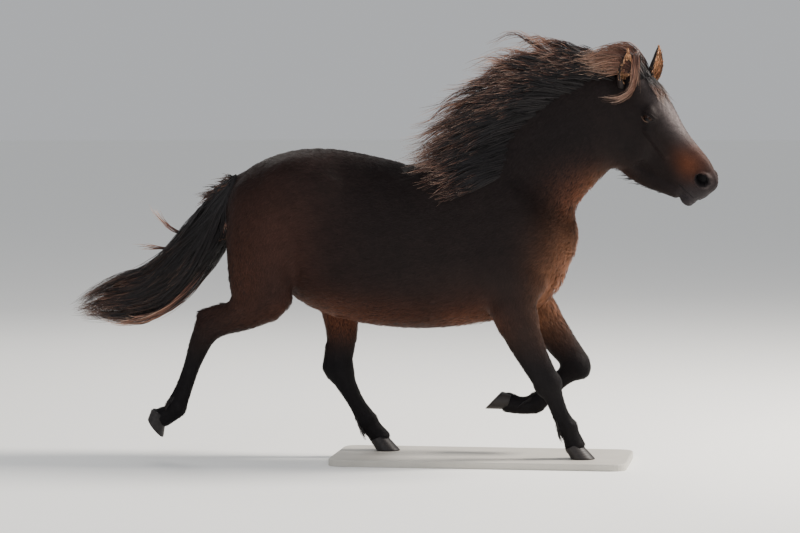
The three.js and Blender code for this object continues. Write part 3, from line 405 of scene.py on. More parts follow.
# %% Questions to a field
def shared_out(field, p):
    """The same field, with the points shared out to all processors."""
    parts = max(1, min(16, len(p) // 2000))
    with ThreadPoolExecutor() as helpers:
        return np.concatenate(list(helpers.map(field, np.array_split(p, parts))))


def slope_of(field, p, step=3.0):
    """The slope of a field from four points round each place, the corners of a tetrahedron."""
    corners = np.array([(1, 1, 1), (1, -1, -1), (-1, 1, -1), (-1, -1, 1)])
    around = (p[None] + step * corners[:, None]).reshape(-1, 3)
    values = shared_out(field, around).reshape(4, len(p))
    return values.T @ corners / (4 * step)


def reach_of(field, start, direction, limit=900.0):
    """How far the body goes from points inside it along a direction."""
    start, direction = np.atleast_2d(start).astype(float), np.atleast_2d(direction).astype(float)
    travel = np.zeros(len(start))
    for _ in range(80):
        d = field(start + direction * travel[:, None])
        travel = np.where(d < -0.05, np.minimum(travel - d * 0.7, limit), travel)
    return travel


print("from inside, the first muscle goes up", reach_of(two_muscles, (5, 0, 0), (0, 0, 1)).round(), "mm")

# %% [markdown]
# The head turns to the horse's right and hangs from its own frame, so that its sizes can be given
# along the face: x from the brow to the nose, y to the left, z from the jaw to the brow.

# %% The head's frame
HEAD_ORIGIN = np.array([767.0, -71.0, 1495.0])
TURN, NOD, ROLL = (math.radians(a) for a in (17, 54, 12))
ahead = np.array([math.cos(TURN), -math.sin(TURN), 0.0])
beside = np.array([math.sin(TURN), math.cos(TURN), 0.0])
upright = np.array([0.0, 0.0, 1.0])
head_along = ahead * math.cos(NOD) - upright * math.sin(NOD)
level = ahead * math.sin(NOD) + upright * math.cos(NOD)
head_left = beside * math.cos(ROLL) + level * math.sin(ROLL)
head_up = level * math.cos(ROLL) - beside * math.sin(ROLL)
HEAD_AXES = np.stack([head_along, head_left, head_up])
FACE_FROM = 560  # ahead of this x in the horse's frame everything is head
THROAT_FROM = 480  # and ahead of this one, head or the top of the throat


def in_head(p):
    return HEAD_ORIGIN + np.asarray(p, float) @ HEAD_AXES


def to_head(p):
    return (np.asarray(p, float) - HEAD_ORIGIN) @ HEAD_AXES.T


print("the nose points along", head_along.round(2))

# %% [markdown]
# A station is x, y, z, then half the width, the reach up or forward and the reach down or back.
# The trunk's rows were read off the picture at 4.4 mm a pixel; widths come from the breed, because
# the picture can't show them.

# %% Trunk, neck and tail root
SIDES = (1, -1)
TRUNK_ROWS = [
    (-1010, 0, 1045, 135, 152, 190),
    (-930, 0, 1067, 190, 232, 260),
    (-830, 0, 1052, 232, 288, 284),
    (-720, 0, 1027, 248, 324, 348),
    (-610, 0, 987, 258, 348, 374),
    (-490, 0, 942, 276, 364, 366),
    (-365, 0, 917, 288, 360, 358),
    (-232, 0, 912, 286, 376, 355),
    (-100, 0, 927, 264, 396, 350),
    (34, 0, 947, 234, 392, 347),
    (166, 0, 965, 206, 300, 326),
    (240, 0, 962, 172, 210, 252),
    (286, 0, 935, 132, 130, 162),
]
NECK_ROWS = [
    (90, 0, 1120, 176, 232, 236),
    (205, -2, 1215, 142, 272, 232),
    (285, -6, 1300, 118, 288, 224),
    (365, -14, 1378, 102, 284, 220),
    (445, -24, 1448, 92, 262, 218),
    (520, -34, 1502, 86, 222, 212),
    (590, -44, 1545, 80, 168, 192),
]
DOCK_ROWS = [
    (-1010, 0, 1175, 48, 62, 60),
    (-1080, 0, 1165, 44, 56, 56),
    (-1150, 0, 1115, 38, 46, 50),
    (-1215, 0, 1040, 30, 36, 42),
    (-1265, 0, 960, 20, 24, 28),
]
trunk = [limb(TRUNK_ROWS)]
for s in SIDES:
    trunk += [
        muscle((-790, s * 125, 1137), (190, 118, 165), 70),  # haunch
        muscle((-668, s * 205, 1182), (58, 34, 46), 60),  # point of the hip
        muscle((195, s * 150, 985), (120, 76, 190), 70, -18),  # shoulder
        muscle((70, s * 178, 850), (140, 64, 120), 60),  # upper arm
        muscle((270, s * 82, 878), (74, 76, 96), 50),  # breast
        muscle((-20, s * 75, 1225), (150, 70, 110), 80),  # withers
        muscle((-995, s * 95, 1090), (90, 70, 130), 50),  # buttock
    ]
neck = [limb(NECK_ROWS, 60)]
dock = [limb(DOCK_ROWS, 40)]
print("trunk and neck shapes", len(trunk) + len(neck) + len(dock))

# %% [markdown]
# Two feet are down and two are in the air, so each leg has its own rows: the flesh where it joins
# the trunk, then forearm or gaskin, cannon, and pastern down to the hoof. The hind legs come first.
# The near one is pushed out behind and the far one stands under the belly.

# %% Hind legs
HIND_LEGS = {
    "hind_right": {
        "thigh": [
            (-890, -120, 1067, 120, 170, 190),
            (-935, -150, 917, 112, 150, 172),
            (-955, -160, 777, 98, 146, 150),
            (-975, -162, 690, 86, 112, 116),
        ],
        "blend": 40,
        "thigh_muscles": [
            muscle((-872, -178, 690), (58, 52, 60), 40, 30),  # stifle
            muscle((-1042, -110, 985), (70, 72, 190), 50),
        ],
        "rows": [
            [
                (-940, -165, 677, 84, 96, 90),
                (-1040, -156, 627, 68, 82, 80),
                (-1130, -144, 587, 50, 64, 62),
                (-1200, -134, 557, 39, 60, 60),
            ],
            [
                (-1200, -134, 562, 41, 56, 60),
                (-1238, -128, 477, 35, 46, 50),
                (-1272, -122, 387, 28, 35, 40),
                (-1308, -116, 287, 28, 35, 42),
                (-1340, -110, 212, 33, 42, 50),
            ],
            [
                (-1345, -108, 196, 36, 44, 50),
                (-1378, -106, 172, 36, 42, 42),
                (-1412, -104, 154, 43, 46, 46),
            ],
        ],
        "extras": [limb([(-1130, -140, 655, 20, 16, 16), (-1226, -132, 618, 24, 24, 24)], 24)],
        "sole": (-1448, -104, 112),
        "pitch": -52,
    },
    "hind_left": {
        "thigh": [
            (-850, 120, 1057, 120, 190, 180),
            (-790, 150, 917, 112, 180, 150),
            (-730, 165, 787, 98, 146, 104),
            (-695, 168, 707, 86, 112, 90),
        ],
        "blend": 30,
        "thigh_muscles": [
            muscle((-640, 178, 712), (60, 52, 62), 40, 30),  # stifle
            muscle((-1020, 110, 997), (76, 72, 180), 50),
        ],
        "rows": [
            [
                (-690, 165, 707, 80, 104, 88),
                (-660, 156, 607, 66, 84, 78),
                (-648, 142, 507, 50, 70, 68),
                (-655, 130, 407, 39, 60, 60),
                (-655, 124, 345, 39, 60, 60),
            ],
            [
                (-655, 124, 350, 40, 58, 58),
                (-612, 116, 275, 33, 42, 46),
                (-572, 110, 205, 28, 36, 40),
                (-525, 104, 135, 33, 42, 50),
            ],
            [
                (-520, 103, 122, 36, 44, 48),
                (-496, 100, 90, 36, 42, 42),
                (-468, 98, 56, 43, 46, 46),
            ],
        ],
        "extras": [limb([(-700, 132, 457, 20, 16, 16), (-710, 126, 366, 23, 24, 24)], 24)],
        "sole": (-438, 97, 0),
        "pitch": 0,
    },
}
print("rows of the hind legs", sum(len(rows) for leg in HIND_LEGS.values() for rows in leg["rows"]))

# %% [markdown]
# The near foreleg stands and carries the horse; the far one is folded, with the hoof drawn up
# behind the knee.

# %% Forelegs
FORE_LEGS = {
    "fore_right": {
        "thigh": [
            (180, -150, 787, 78, 116, 120),
            (155, -148, 690, 72, 100, 112),
            (172, -142, 600, 62, 84, 90),
        ],
        "blend": 50,
        "thigh_muscles": [],
        "rows": [
            [
                (152, -146, 668, 64, 90, 98),
                (192, -138, 550, 55, 80, 86),
                (236, -130, 450, 45, 66, 70),
                (285, -120, 357, 43, 58, 60),
                (303, -116, 322, 41, 56, 58),
            ],
            [
                (303, -116, 327, 39, 54, 58),
                (332, -112, 262, 29, 38, 44),
                (358, -110, 197, 27, 34, 42),
                (385, -106, 142, 33, 40, 46),
            ],
            [
                (388, -106, 136, 36, 42, 46),
                (402, -104, 100, 35, 40, 40),
                (418, -102, 56, 43, 46, 46),
            ],
        ],
        "extras": [],
        "sole": (446, -101, 0),
        "pitch": 0,
    },
    "fore_left": {
        "thigh": [
            (190, 148, 787, 78, 116, 116),
            (192, 146, 690, 72, 98, 100),
            (240, 140, 610, 62, 82, 84),
        ],
        "blend": 50,
        "thigh_muscles": [],
        "rows": [
            [
                (198, 146, 668, 64, 86, 94),
                (275, 136, 567, 55, 78, 80),
                (350, 126, 467, 45, 66, 66),
                (402, 118, 398, 43, 62, 56),
            ],
            [
                (410, 117, 384, 41, 56, 50),
                (352, 114, 342, 32, 44, 40),
                (300, 112, 290, 28, 36, 38),
                (235, 110, 222, 32, 42, 42),
            ],
            [
                (222, 109, 212, 36, 42, 46),
                (160, 107, 208, 35, 40, 40),
                (106, 105, 218, 43, 44, 48),
            ],
        ],
        "extras": [muscle((426, 116, 376), (40, 42, 46), 24)],  # bent knee
        "sole": (43, 104, 236),
        "pitch": -134,
    },
}
LEGS = {**HIND_LEGS, **FORE_LEGS}
SHANK_BLENDS = (30, 30, 16)
thighs, shanks = [], []
for leg in LEGS.values():
    thighs += [limb(leg["thigh"], leg["blend"])] + leg["thigh_muscles"]
    shanks += [limb(rows, blend) for rows, blend in zip(leg["rows"], SHANK_BLENDS)] + leg["extras"]
print("shapes of the legs", len(thighs) + len(shanks))

# %% [markdown]
# ## The head's flesh
#
# The head is long and deep, wide between the eyes and narrow above the mouth. On top of the loft
# come the round cheek, the two jaw bones with a hollow between them, the brow over each eye, the
# crest of bone down the face, the rims of the nostrils, the nose and the chin.

# %% Head
HEAD_ROWS = [
    (-200, 0, -20, 58, 66, 120),
    (-140, 0, -8, 80, 84, 200),
    (-60, 0, 0, 92, 80, 268),
    (20, 0, 0, 90, 74, 288),
    (85, 0, 2, 76, 66, 264),
    (150, 0, 4, 62, 64, 228),
    (220, 0, 6, 54, 70, 198),
    (290, 0, 4, 50, 80, 156),
    (345, 0, -4, 50, 80, 118),
    (364, 0, -10, 46, 78, 92),
]
head_shapes = [limb(HEAD_ROWS)]
for s in SIDES:
    jaw = [(40, s * 46, -254, 26, 38, 38), (170, s * 37, -219, 21, 32, 32), (320, s * 24, -124, 18, 26, 26)]
    face_crest = [(40, s * 82, -36, 10, 10, 10), (170, s * 56, -50, 8, 8, 8)]
    head_shapes += [
        muscle((-15, s * 66, -160), (138, 30, 120), 26),  # cheek
        limb(jaw, 26),
        muscle((-22, s * 82, 22), (50, 20, 22), 20),  # brow
        limb(face_crest, 24),
        muscle((352, s * 38, 26), (36, 20, 32), 18),  # rim of the nostril
        hollow(muscle((-78, s * 92, 26), (40, 14, 26), 20)),  # hollow above the eye
    ]
head_shapes += [
    muscle((374, 0, -32), (40, 40, 47), 16),  # upper lip
    muscle((366, 0, -112), (36, 34, 22), 16),  # chin
    muscle((376, 0, -88), (28, 30, 24), 16),  # lower lip
]
head_field = body(head_shapes)
print("shapes of the head", len(head_shapes))

# %% [markdown]
# Each eye sits a little way into the side of the head, as wide apart as the skull is there. A thin
# shell round the ball swells the skin, and the lids are cut into that swelling later.

# %% Places of the eyes
EYE_RADIUS = 28
LID_THICKNESS = 3.0
EYE_PLACE = (4, 2)
EYE_INSET = 20
EYE_TILT = math.radians(38)
NOSTRIL_PLACE = (349, 24)
eye_centres = {}
for s in SIDES:
    half = reach_of(head_field, (EYE_PLACE[0], 0, EYE_PLACE[1]), (0, s, 0))[0]
    eye_centres[s] = np.array([EYE_PLACE[0], s * (half - EYE_INSET), EYE_PLACE[1]])
    head_shapes.append(muscle(eye_centres[s], (EYE_RADIUS + LID_THICKNESS,) * 3, 12))
print("eye to eye", round(eye_centres[1][1] - eye_centres[-1][1]), "mm")

# %% [markdown]
# The head is now one more shape of the body, placed by its frame. The skin lies under the flesh's
# outline by the depth of the coat, because the outline in the picture is the coat's, not the skin's.

# %% The whole horse
COAT_DEPTH = 6.0
FINE_COAT_DEPTH = 2.5


def placed_head():
    corners = in_head([(x, y, z) for x in (-270, 430) for y in (-130, 130) for z in (-310, 110)])
    low, high = corners.min(0), corners.max(0)
    return {"distance": lambda p: head_field(to_head(p)), "blend": 40, "low": low, "high": high}


every_shape = trunk + dock + neck + [placed_head()] + thighs + shanks
flesh = body(every_shape)


def smoothstep(low, high, value):
    t = np.clip((value - low) / (high - low), 0, 1)
    return t * t * (3 - 2 * t)


def coat_depth(p):
    """The coat is thinnest on the face and below the knees and hocks."""
    face = smoothstep(-190, -60, to_head(p)[:, 0]) * (p[:, 0] > THROAT_FROM)
    leg = 1 - smoothstep(420, 640, p[:, 2])
    return COAT_DEPTH + (FINE_COAT_DEPTH - COAT_DEPTH) * np.maximum(face, leg)


def skin_field(p):
    return flesh(p) + coat_depth(p)


print("shapes in the whole horse", len(every_shape))

# %% [markdown]
# ## From field to skin
#
# The field is asked on a grid: coarsely everywhere, then finely only in blocks near the surface.
# Each fine cell that the surface passes through gets one point, and each grid edge that it crosses
# gets one face between the four cells round it. This gives even, nearly square faces, which bend
# and subdivide better than the triangles of marching cubes.

# %% Skin from a grid
CELL = 7.5
BLOCK = 4


def grid_values(field, low, high, cell):
    blocks = np.ceil((high - low) / (cell * BLOCK)).astype(int) + 1
    middles = np.stack(np.meshgrid(*(np.arange(n) for n in blocks), indexing="ij"), -1)
    middles = middles.reshape(-1, 3)
    coarse = field(low + (middles + 0.5 - 0.5 / BLOCK) * cell * BLOCK).reshape(blocks)
    values = coarse.astype(np.float32)
    for axis in range(3):
        values = values.repeat(BLOCK, axis)
    near = np.argwhere(np.abs(values) < cell * BLOCK * 1.5)
    values[tuple(near.T)] = shared_out(field, low + near * cell)
    return values


def cell_points(values, corners, cells, low, cell):
    """One point in each cell: the mean of the places where the surface crosses its edges."""
    total, hits = np.zeros((len(cells), 3)), np.zeros(len(cells))
    for axis in range(3):
        step = np.eye(3, dtype=int)[axis]
        for corner in corners:
            if corner[axis]:
                continue
            start = cells + corner
            a, b = values[tuple(start.T)], values[tuple((start + step).T)]
            crossed = (a < 0) != (b < 0)
            t = a[crossed] / (a[crossed] - b[crossed])
            total[crossed] += start[crossed] + t[:, None] * step
            hits[crossed] += 1
    return low + cell * total / hits[:, None]


def surface_nets(values, low, cell):
    inside = values < 0
    shape = np.array(values.shape) - 1
    corners = [np.array([i, j, k]) for i in (0, 1) for j in (0, 1) for k in (0, 1)]
    count = np.zeros(shape, np.int8)
    for corner in corners:
        count += inside[tuple(slice(c, c + n) for c, n in zip(corner, shape))]
    active = (count > 0) & (count < 8)
    index = np.full(active.shape, -1)
    cells = np.argwhere(active)
    index[active] = np.arange(len(cells))
    quads = []
    for axis in range(3):
        _, u, v = (np.eye(3, dtype=int)[(axis + k) % 3] for k in range(3))
        first = [slice(None)] * 3
        last = [slice(None)] * 3
        first[axis], last[axis] = slice(0, -1), slice(1, None)
        at = np.argwhere(inside[tuple(first)] != inside[tuple(last)])
        at = at[(at @ u > 0) & (at @ v > 0)]
        ring = [index[tuple(np.minimum(at - shift, shape - 1).T)] for shift in (0 * u, u, u + v, v)]
        quad = np.stack(ring, 1)
        outward = inside[tuple(at.T)]
        quads.append(np.where(outward[:, None], quad, quad[:, ::-1]))
    quads = np.vstack(quads)
    return cell_points(values, corners, cells, low, cell), quads[(quads >= 0).all(1)]


def settle(field, points, chosen):
    """Moves the chosen points along the slope of the field, onto its surface."""
    p = points[chosen]
    slope = slope_of(field, p, 1.5)
    travel = np.clip(shared_out(field, p) / (slope**2).sum(1).clip(0.2), -6, 6)
    points[chosen] = p - slope * travel[:, None]
    return points


box_low = np.array([-1500.0, -330.0, -20.0])
box_high = np.array([1080.0, 330.0, 1700.0])
points, quads = surface_nets(grid_values(skin_field, box_low, box_high, CELL), box_low, CELL)
points = settle(skin_field, points, slice(None))
print("skin before refining", len(points), "points", len(quads), "faces")

# %% [markdown]
# The head needs finer faces than the flank, and the lids, nostrils and lips finer ones still. The
# faces there are split and the new points settle on the same field, so the skin stays one closed
# surface with no seam at the throat.

# %% Finer faces on the head
mesh = bpy.data.meshes.new("skin")
mesh.from_pydata(points.tolist(), [], quads.tolist())
bm = bmesh.new()
bm.from_mesh(mesh)
SNOUT_FROM = 290  # the nostrils and the mouth lie ahead of this, in the head's frame
MOUTH_LEVEL = -78


def refine(chosen_points):
    split = [face for face in bm.faces if all(chosen_points[v.index] for v in face.verts)]
    edges = {edge for face in split for edge in face.edges}
    bmesh.ops.subdivide_edges(bm, edges=list(edges), cuts=1, use_grid_fill=True)
    bm.verts.index_update()
    bm.verts.ensure_lookup_table()
    return np.array([v.co for v in bm.verts])


def around_eyes(q, reach):
    chosen = np.zeros(len(q), bool)
    for s in SIDES:
        chosen |= (q[:, 1] * s > 0) & (np.linalg.norm(q - eye_centres[s], axis=1) < reach)
    return chosen


def near_detail(q, reach):
    """Points of the head's frame that lie near an eye, a nostril or the mouth."""
    nostril = np.hypot(q[:, 0] - NOSTRIL_PLACE[0], q[:, 2] - NOSTRIL_PLACE[1]) < 42 + reach
    mouth = (q[:, 0] > SNOUT_FROM - reach) & (np.abs(q[:, 2] - MOUTH_LEVEL) < 22 + reach)
    beside_middle = q[:, 1] != 0
    return around_eyes(q, 50 + reach) | beside_middle & nostril & (q[:, 0] > SNOUT_FROM) | mouth


face_parts = [lambda q: q[:, 0] > -120, lambda q: near_detail(q, 8), lambda q: around_eyes(q, 40)]
for part in face_parts:
    points = refine(part(to_head(points)) & (points[:, 0] > FACE_FROM))
    changed = part(to_head(points)) & (points[:, 0] > FACE_FROM)
    points = settle(skin_field, points, changed)
    for k in np.flatnonzero(changed):
        bm.verts[k].co = points[k]
bmesh.ops.triangulate(bm, faces=[face for face in bm.faces if len(face.verts) > 4])
for _ in range(2):
    bmesh.ops.smooth_vert(bm, verts=bm.verts, factor=0.35, use_axis_x=True, use_axis_y=True, use_axis_z=True)
bmesh.ops.recalc_face_normals(bm, faces=bm.faces)
bm.to_mesh(mesh)
bm.free()
print("skin", len(mesh.vertices), "points", len(mesh.polygons), "faces")

# %% [markdown]
# ## Lids, nostrils, lips and tendons
#
# Small forms are pressed into the finished skin, or raised from it, as a sculptor would do with a
# loop tool. Each is a distance in the head's own frame, turned into a height by a bell curve.

# %% Distances for the relief
def read(data, name, width=1, kind=float):
    """A value, or a row of values, for each item in a mesh's data."""
    flat = np.empty(len(data) * width, kind)
    data.foreach_get(name, flat)
    return flat.reshape(-1, width) if width > 1 else flat


def write_points(of_mesh, places):
    of_mesh.vertices.foreach_set("co", np.ascontiguousarray(places, dtype=np.float32).ravel())
    of_mesh.update()


def bell(value, width):
    return np.exp(-((value / width) ** 2))


def folds(distance, rows):
    """A row of folds and grooves: each has a height, a distance from the edge and a width."""
    return sum(height * bell(distance - at, width) for height, at, width in rows)


def path_distance(p, path):
    """Distance from flat points to a line of flat points, and the share of it where that is."""
    path = np.asarray(path, float)
    best, place = np.full(len(p), 1e9), np.zeros(len(p))
    for i, (a, b) in enumerate(zip(path, path[1:])):
        t = np.clip(((p - a) @ (b - a)) / ((b - a) @ (b - a)), 0, 1)
        d = np.linalg.norm(p - a - t[:, None] * (b - a), axis=1)
        place = np.where(d < best, (i + t) / (len(path) - 1), place)
        best = np.minimum(best, d)
    return best, place


def inside_outline(p, outline):
    """Distance to a closed outline, negative inside it."""
    outline = np.asarray(outline, float)
    ring = np.vstack([outline, outline[:1]])
    d, _ = path_distance(p, ring)
    crossings = np.zeros(len(p), int)
    for a, b in zip(ring, ring[1:]):
        spans = (a[1] > p[:, 1]) != (b[1] > p[:, 1])
        x = a[0] + (p[:, 1] - a[1]) / (b[1] - a[1] + 1e-12) * (b[0] - a[0])
        crossings += spans & (p[:, 0] < x)
    return np.where(crossings % 2 == 1, -d, d)


points = read(mesh.vertices, "co", 3)
normals = read(mesh.vertex_normals, "vector", 3)
q = to_head(points)
on_head = (points[:, 0] > FACE_FROM) & (q[:, 0] > -230)
height = np.zeros(len(points))
bare = np.zeros(len(points))  # where no coat grows
moist = np.zeros(len(points))  # dark wet skin: lid edges, lips, inside of the nostrils
pale = np.zeros(len(points))  # the light line under each eye
# painted shade: near black where shade falls deep inside the nostrils and round the ball in the eye sockets
recess_shade = np.zeros(len(points))  # deep inside the nostrils and the eye sockets
print("points of the head", int(on_head.sum()))

# %% [markdown]
# The open eye is an almond tilted down to the nose. Inside its edge the skin sinks in to meet the
# ball; outside it, folds run round both lids, deeper above than below.

# %% Lids
LID_HALF = 29.5
UPPER_OPEN, LOWER_OPEN = 15, 11.5
SOCKET_INSET = 5
LID_RIM = [(0.9, 2.2, 2.2)]
UPPER_FOLDS = [(-1.9, 7.0, 1.7), (1.5, 11.5, 3.2), (-0.9, 17, 2.0)]
LOWER_FOLDS = [(-1.0, 6.0, 1.6), (0.7, 9.5, 2.6), (-0.6, 14, 2.0)]


def lid_heights(along):
    """Upper and lower edge of the open eye, over its length from the nose side to the ear side."""
    share = np.clip(1 - (along / LID_HALF) ** 2, 0, 1)
    return UPPER_OPEN * share**0.75, -LOWER_OPEN * share**0.9


def eye_plane(q, s):
    x, z = q[:, 0] - eye_centres[s][0], q[:, 2] - eye_centres[s][2]
    cos, sin = math.cos(EYE_TILT), math.sin(EYE_TILT)
    return x * cos + z * sin, -x * sin + z * cos


for s in SIDES:
    near = np.linalg.norm(q - eye_centres[s], axis=1) < 60
    near &= on_head & ((q[:, 1] - eye_centres[s][1]) * s > -4)
    along, lift = eye_plane(q, s)
    upper, lower = lid_heights(along)
    edge = np.maximum(lift - upper, lower - lift)
    edge = np.maximum(edge, np.abs(along) - LID_HALF)
    above = (lift > 0) * smoothstep(LID_HALF + 14, LID_HALF - 4, np.abs(along))
    below = (lift <= 0) * smoothstep(LID_HALF + 12, LID_HALF - 6, np.abs(along))
    height += near * folds(edge, LID_RIM)
    height += near * above * folds(edge, UPPER_FOLDS)
    height += near * below * folds(edge, LOWER_FOLDS)
    open_eye = near & (edge < 0.4)
    depth = smoothstep(0.4, -1.6, edge) * open_eye
    centre = in_head(eye_centres[s])
    sunk = centre + unit(points - centre) * (EYE_RADIUS - SOCKET_INSET)
    points = np.where(open_eye[:, None], points + (sunk - points) * depth[:, None], points)
    bare = np.maximum(bare, near * smoothstep(4.0, 1.0, edge))
    # painted shade in the crease between the lids and the ball
    recess_shade = np.maximum(recess_shade, open_eye * smoothstep(-0.5, -3, edge))
    moist = np.maximum(moist, near * smoothstep(7, 2.5, edge))
    moist = np.maximum(moist, near * 0.7 * smoothstep(9, 4, np.hypot(along - LID_HALF - 3, lift + 1)))
    pale = np.maximum(pale, near * below * bell(edge - 2.6, 1.3) * smoothstep(16, -6, along))
print("lids", 2 * LID_HALF, "mm long, open", UPPER_OPEN + LOWER_OPEN, "mm")

# %% [markdown]
# The nostril is a comma with a raised rim. The skin inside its outline is pushed in and back. The
# mouth is one groove with a soft lip on each side, and short wrinkles at its corner.

# %% Nostrils and mouth
NOSTRIL_OUTLINE = [
    (-27, -2), (-19, 17), (0, 30), (20, 30), (36, 18), (36, -2), (22, -19), (0, -23), (-17, -17),
]
NOSTRIL_RIM = [(3.4, 3.0, 4.2), (-1.5, 15, 5)]
NOSTRIL_DEPTH = 26
MOUTH = [(301, -83), (306, -81), (322, -76), (340, -72), (358, -69), (376, -67), (388, -66), (400, -66)]
MOUTH_DEPTH, LIP_HEIGHT = 4.2, 1.8
LIPS_FROM = 285
WRINKLES_AT, WRINKLES_REACH = (300, -86), 22
for s in SIDES:
    near = on_head & (q[:, 1] * s > 8) & (q[:, 0] > LIPS_FROM)
    flat = np.stack([q[:, 0] - NOSTRIL_PLACE[0], q[:, 2] - NOSTRIL_PLACE[1]], 1)
    edge = inside_outline(flat, NOSTRIL_OUTLINE)
    near &= normals @ (HEAD_AXES[1] * s) > -0.3
    height += near * folds(edge, NOSTRIL_RIM)
    depth = NOSTRIL_DEPTH * smoothstep(1.5, -11, edge) * near
    inward = -HEAD_AXES[1] * s - HEAD_AXES[0] * 0.45
    points = points + depth[:, None] * inward
    bare = np.maximum(bare, near * smoothstep(3.5, 0.5, edge))
    moist = np.maximum(moist, near * smoothstep(5, -1, edge))
    # painted shade deep inside the nostril
    recess_shade = np.maximum(recess_shade, near * smoothstep(-1, -6, edge))

flat = q[:, [0, 2]]
gap, along = path_distance(flat, MOUTH)
snout = on_head & (q[:, 0] > LIPS_FROM)
groove = -MOUTH_DEPTH * bell(gap, 2.2) * smoothstep(-0.02, 0.12, along)
height += snout * (groove + LIP_HEIGHT * bell(gap - 8, 5))
bare = np.maximum(bare, snout * bell(gap, 3.0))
moist = np.maximum(moist, snout * bell(gap, 4.5) * 0.9)
away = np.hypot(flat[:, 0] - WRINKLES_AT[0], flat[:, 1] - WRINKLES_AT[1])
wrinkles = 0.9 * np.sin(away * 1.25) * smoothstep(WRINKLES_REACH, 8, away)
height += snout * (away < WRINKLES_REACH) * wrinkles
points = points + height[:, None] * normals
print("lids, nostrils and lips pressed in, deepest", round(float(np.abs(height).max()), 1), "mm")

# %% [markdown]
# Which way the coat lies, and where on an unwrap each point belongs, both come from the nearest
# limb: the share of the way along it and the turn about it. Hair runs from the head to the tail and
# down the legs; on the face it runs down to the nose. The same turn also places the groove
# between the bone and the tendons behind it on each lower leg.

# %% Sections of the body
ON_TRUNK, ON_NECK, ON_HEAD, ON_DOCK, ON_LEGS = range(5)
ON_FORELEGS = ON_LEGS + len(HIND_LEGS)
SECTIONS = [
    # name, rows, and 1 where the hair runs from the first row to the last or -1 where it runs back
    ("trunk", [TRUNK_ROWS], -1),
    ("neck", [NECK_ROWS], -1),
    ("head", [HEAD_ROWS], 1),
    ("dock", [DOCK_ROWS], 1),
]
for name, leg in LEGS.items():
    SECTIONS.append((name, [leg["thigh"], *leg["rows"]], 1))


def survey(p):
    """For each point and section: distance, share along, turn about, and the section's direction."""
    found = []
    for name, rows, sign in SECTIONS:
        place = to_head(p) if name == "head" else p
        lengths = [np.linalg.norm(np.diff(np.array(r)[:, :3], axis=0), axis=1) for r in rows]
        total, walked = sum(length.sum() for length in lengths), 0.0
        best = np.full(len(p), 1e9)
        share, turn, lie = np.zeros(len(p)), np.zeros(len(p)), np.zeros((len(p), 3))
        for row, length in zip(rows, lengths):
            row = np.array(row, float)
            for start, end, size in zip(row, row[1:], length):
                d, t, angle = span_distance(place, start, end)
                nearer = d < best
                axis = unit(end[:3] - start[:3]) * sign
                if name == "head":
                    axis = axis @ HEAD_AXES
                best = np.where(nearer, d, best)
                share = np.where(nearer, (walked + t * size) / total, share)
                turn = np.where(nearer, angle, turn)
                lie = np.where(nearer[:, None], axis, lie)
                walked += size
        found.append((best, share, turn, lie))
    return [np.stack(column) for column in zip(*found)]


distances, shares, turns, lies = survey(points)
section = distances.argmin(0)
rows_of = np.arange(len(points))
share, turn = shares[section, rows_of], turns[section, rows_of]
print("sections", [name for name, _, _ in SECTIONS])

# %% [markdown]
# The groove of the tendons comes first, because it moves the skin. Then the skin's own slope takes
# out of the lie whatever would point into the flesh or away from it, so the coat lies flat.

# %% Tendons and lie of the coat
GROOVE_DEPTH = 2.6
GROOVE_TURN, GROOVE_WIDTH = 0.95, 0.28  # on each side of the back of the leg, in radians
shin = (section >= ON_LEGS) * smoothstep(400, 330, points[:, 2]) * smoothstep(0.99, 0.9, share)
groove = bell(np.abs(np.abs(turn + math.pi / 2) - GROOVE_TURN), GROOVE_WIDTH)
points = points - normals * (GROOVE_DEPTH * shin * groove)[:, None]
write_points(mesh, points)
normals = read(mesh.vertex_normals, "vector", 3)

weights = np.exp(-(distances - distances.min(0)) / 28)
lie = (weights[:, :, None] * lies).sum(0) / weights.sum(0)[:, None]
droop = np.where((section >= ON_LEGS) | (section == ON_HEAD), 0.0, 0.28)
flow = lie + np.array([0, 0, -1]) * droop[:, None]
on_poll = (section == ON_HEAD)[:, None] & (q[:, :1] < -60)
flow = np.where(on_poll, flow * 0.3 - HEAD_AXES[2] * 0.7, flow)
flow -= normals * (flow * normals).sum(1)[:, None]
flow = unit(flow + 1e-6)
print("the coat lies back on average by", flow.mean(0).round(2))

# %% [markdown]
# The unwrap gives each section its own tile: along the tile runs the share along the limb, and
# across it the turn about the limb. A face that crosses the seam is moved whole to one side of it.

# %% Unwrap
TILES = [
    # left, low, width and height for each section, in their order
    (0.02, 0.02, 0.42, 0.56),
    (0.46, 0.02, 0.30, 0.34),
    (0.46, 0.40, 0.30, 0.34),
    (0.80, 0.02, 0.10, 0.10),
    (0.02, 0.62, 0.36, 0.16),
    (0.02, 0.82, 0.36, 0.16),
    (0.42, 0.78, 0.32, 0.18),
    (0.78, 0.40, 0.18, 0.36),
]
corner_points = read(mesh.loops, "vertex_index", kind=int)
starts = read(mesh.polygons, "loop_start", kind=int)
face_of_corner = np.repeat(np.arange(len(starts)), read(mesh.polygons, "loop_total", kind=int))
corner_section = section[corner_points[starts]][face_of_corner]
u = shares[corner_section, corner_points]
v = turns[corner_section, corner_points] / (2 * math.pi) + 0.5
v = v - np.round(v - v[starts][face_of_corner])
tiles = np.array(TILES)[corner_section]
unwrap = np.stack([tiles[:, 0] + u * tiles[:, 2], tiles[:, 1] + v * tiles[:, 3]], 1).clip(0.001, 0.999)
mesh.uv_layers.new(name="OFBake").data.foreach_set("uv", unwrap.astype(np.float32).ravel())
print("corners unwrapped", len(unwrap))
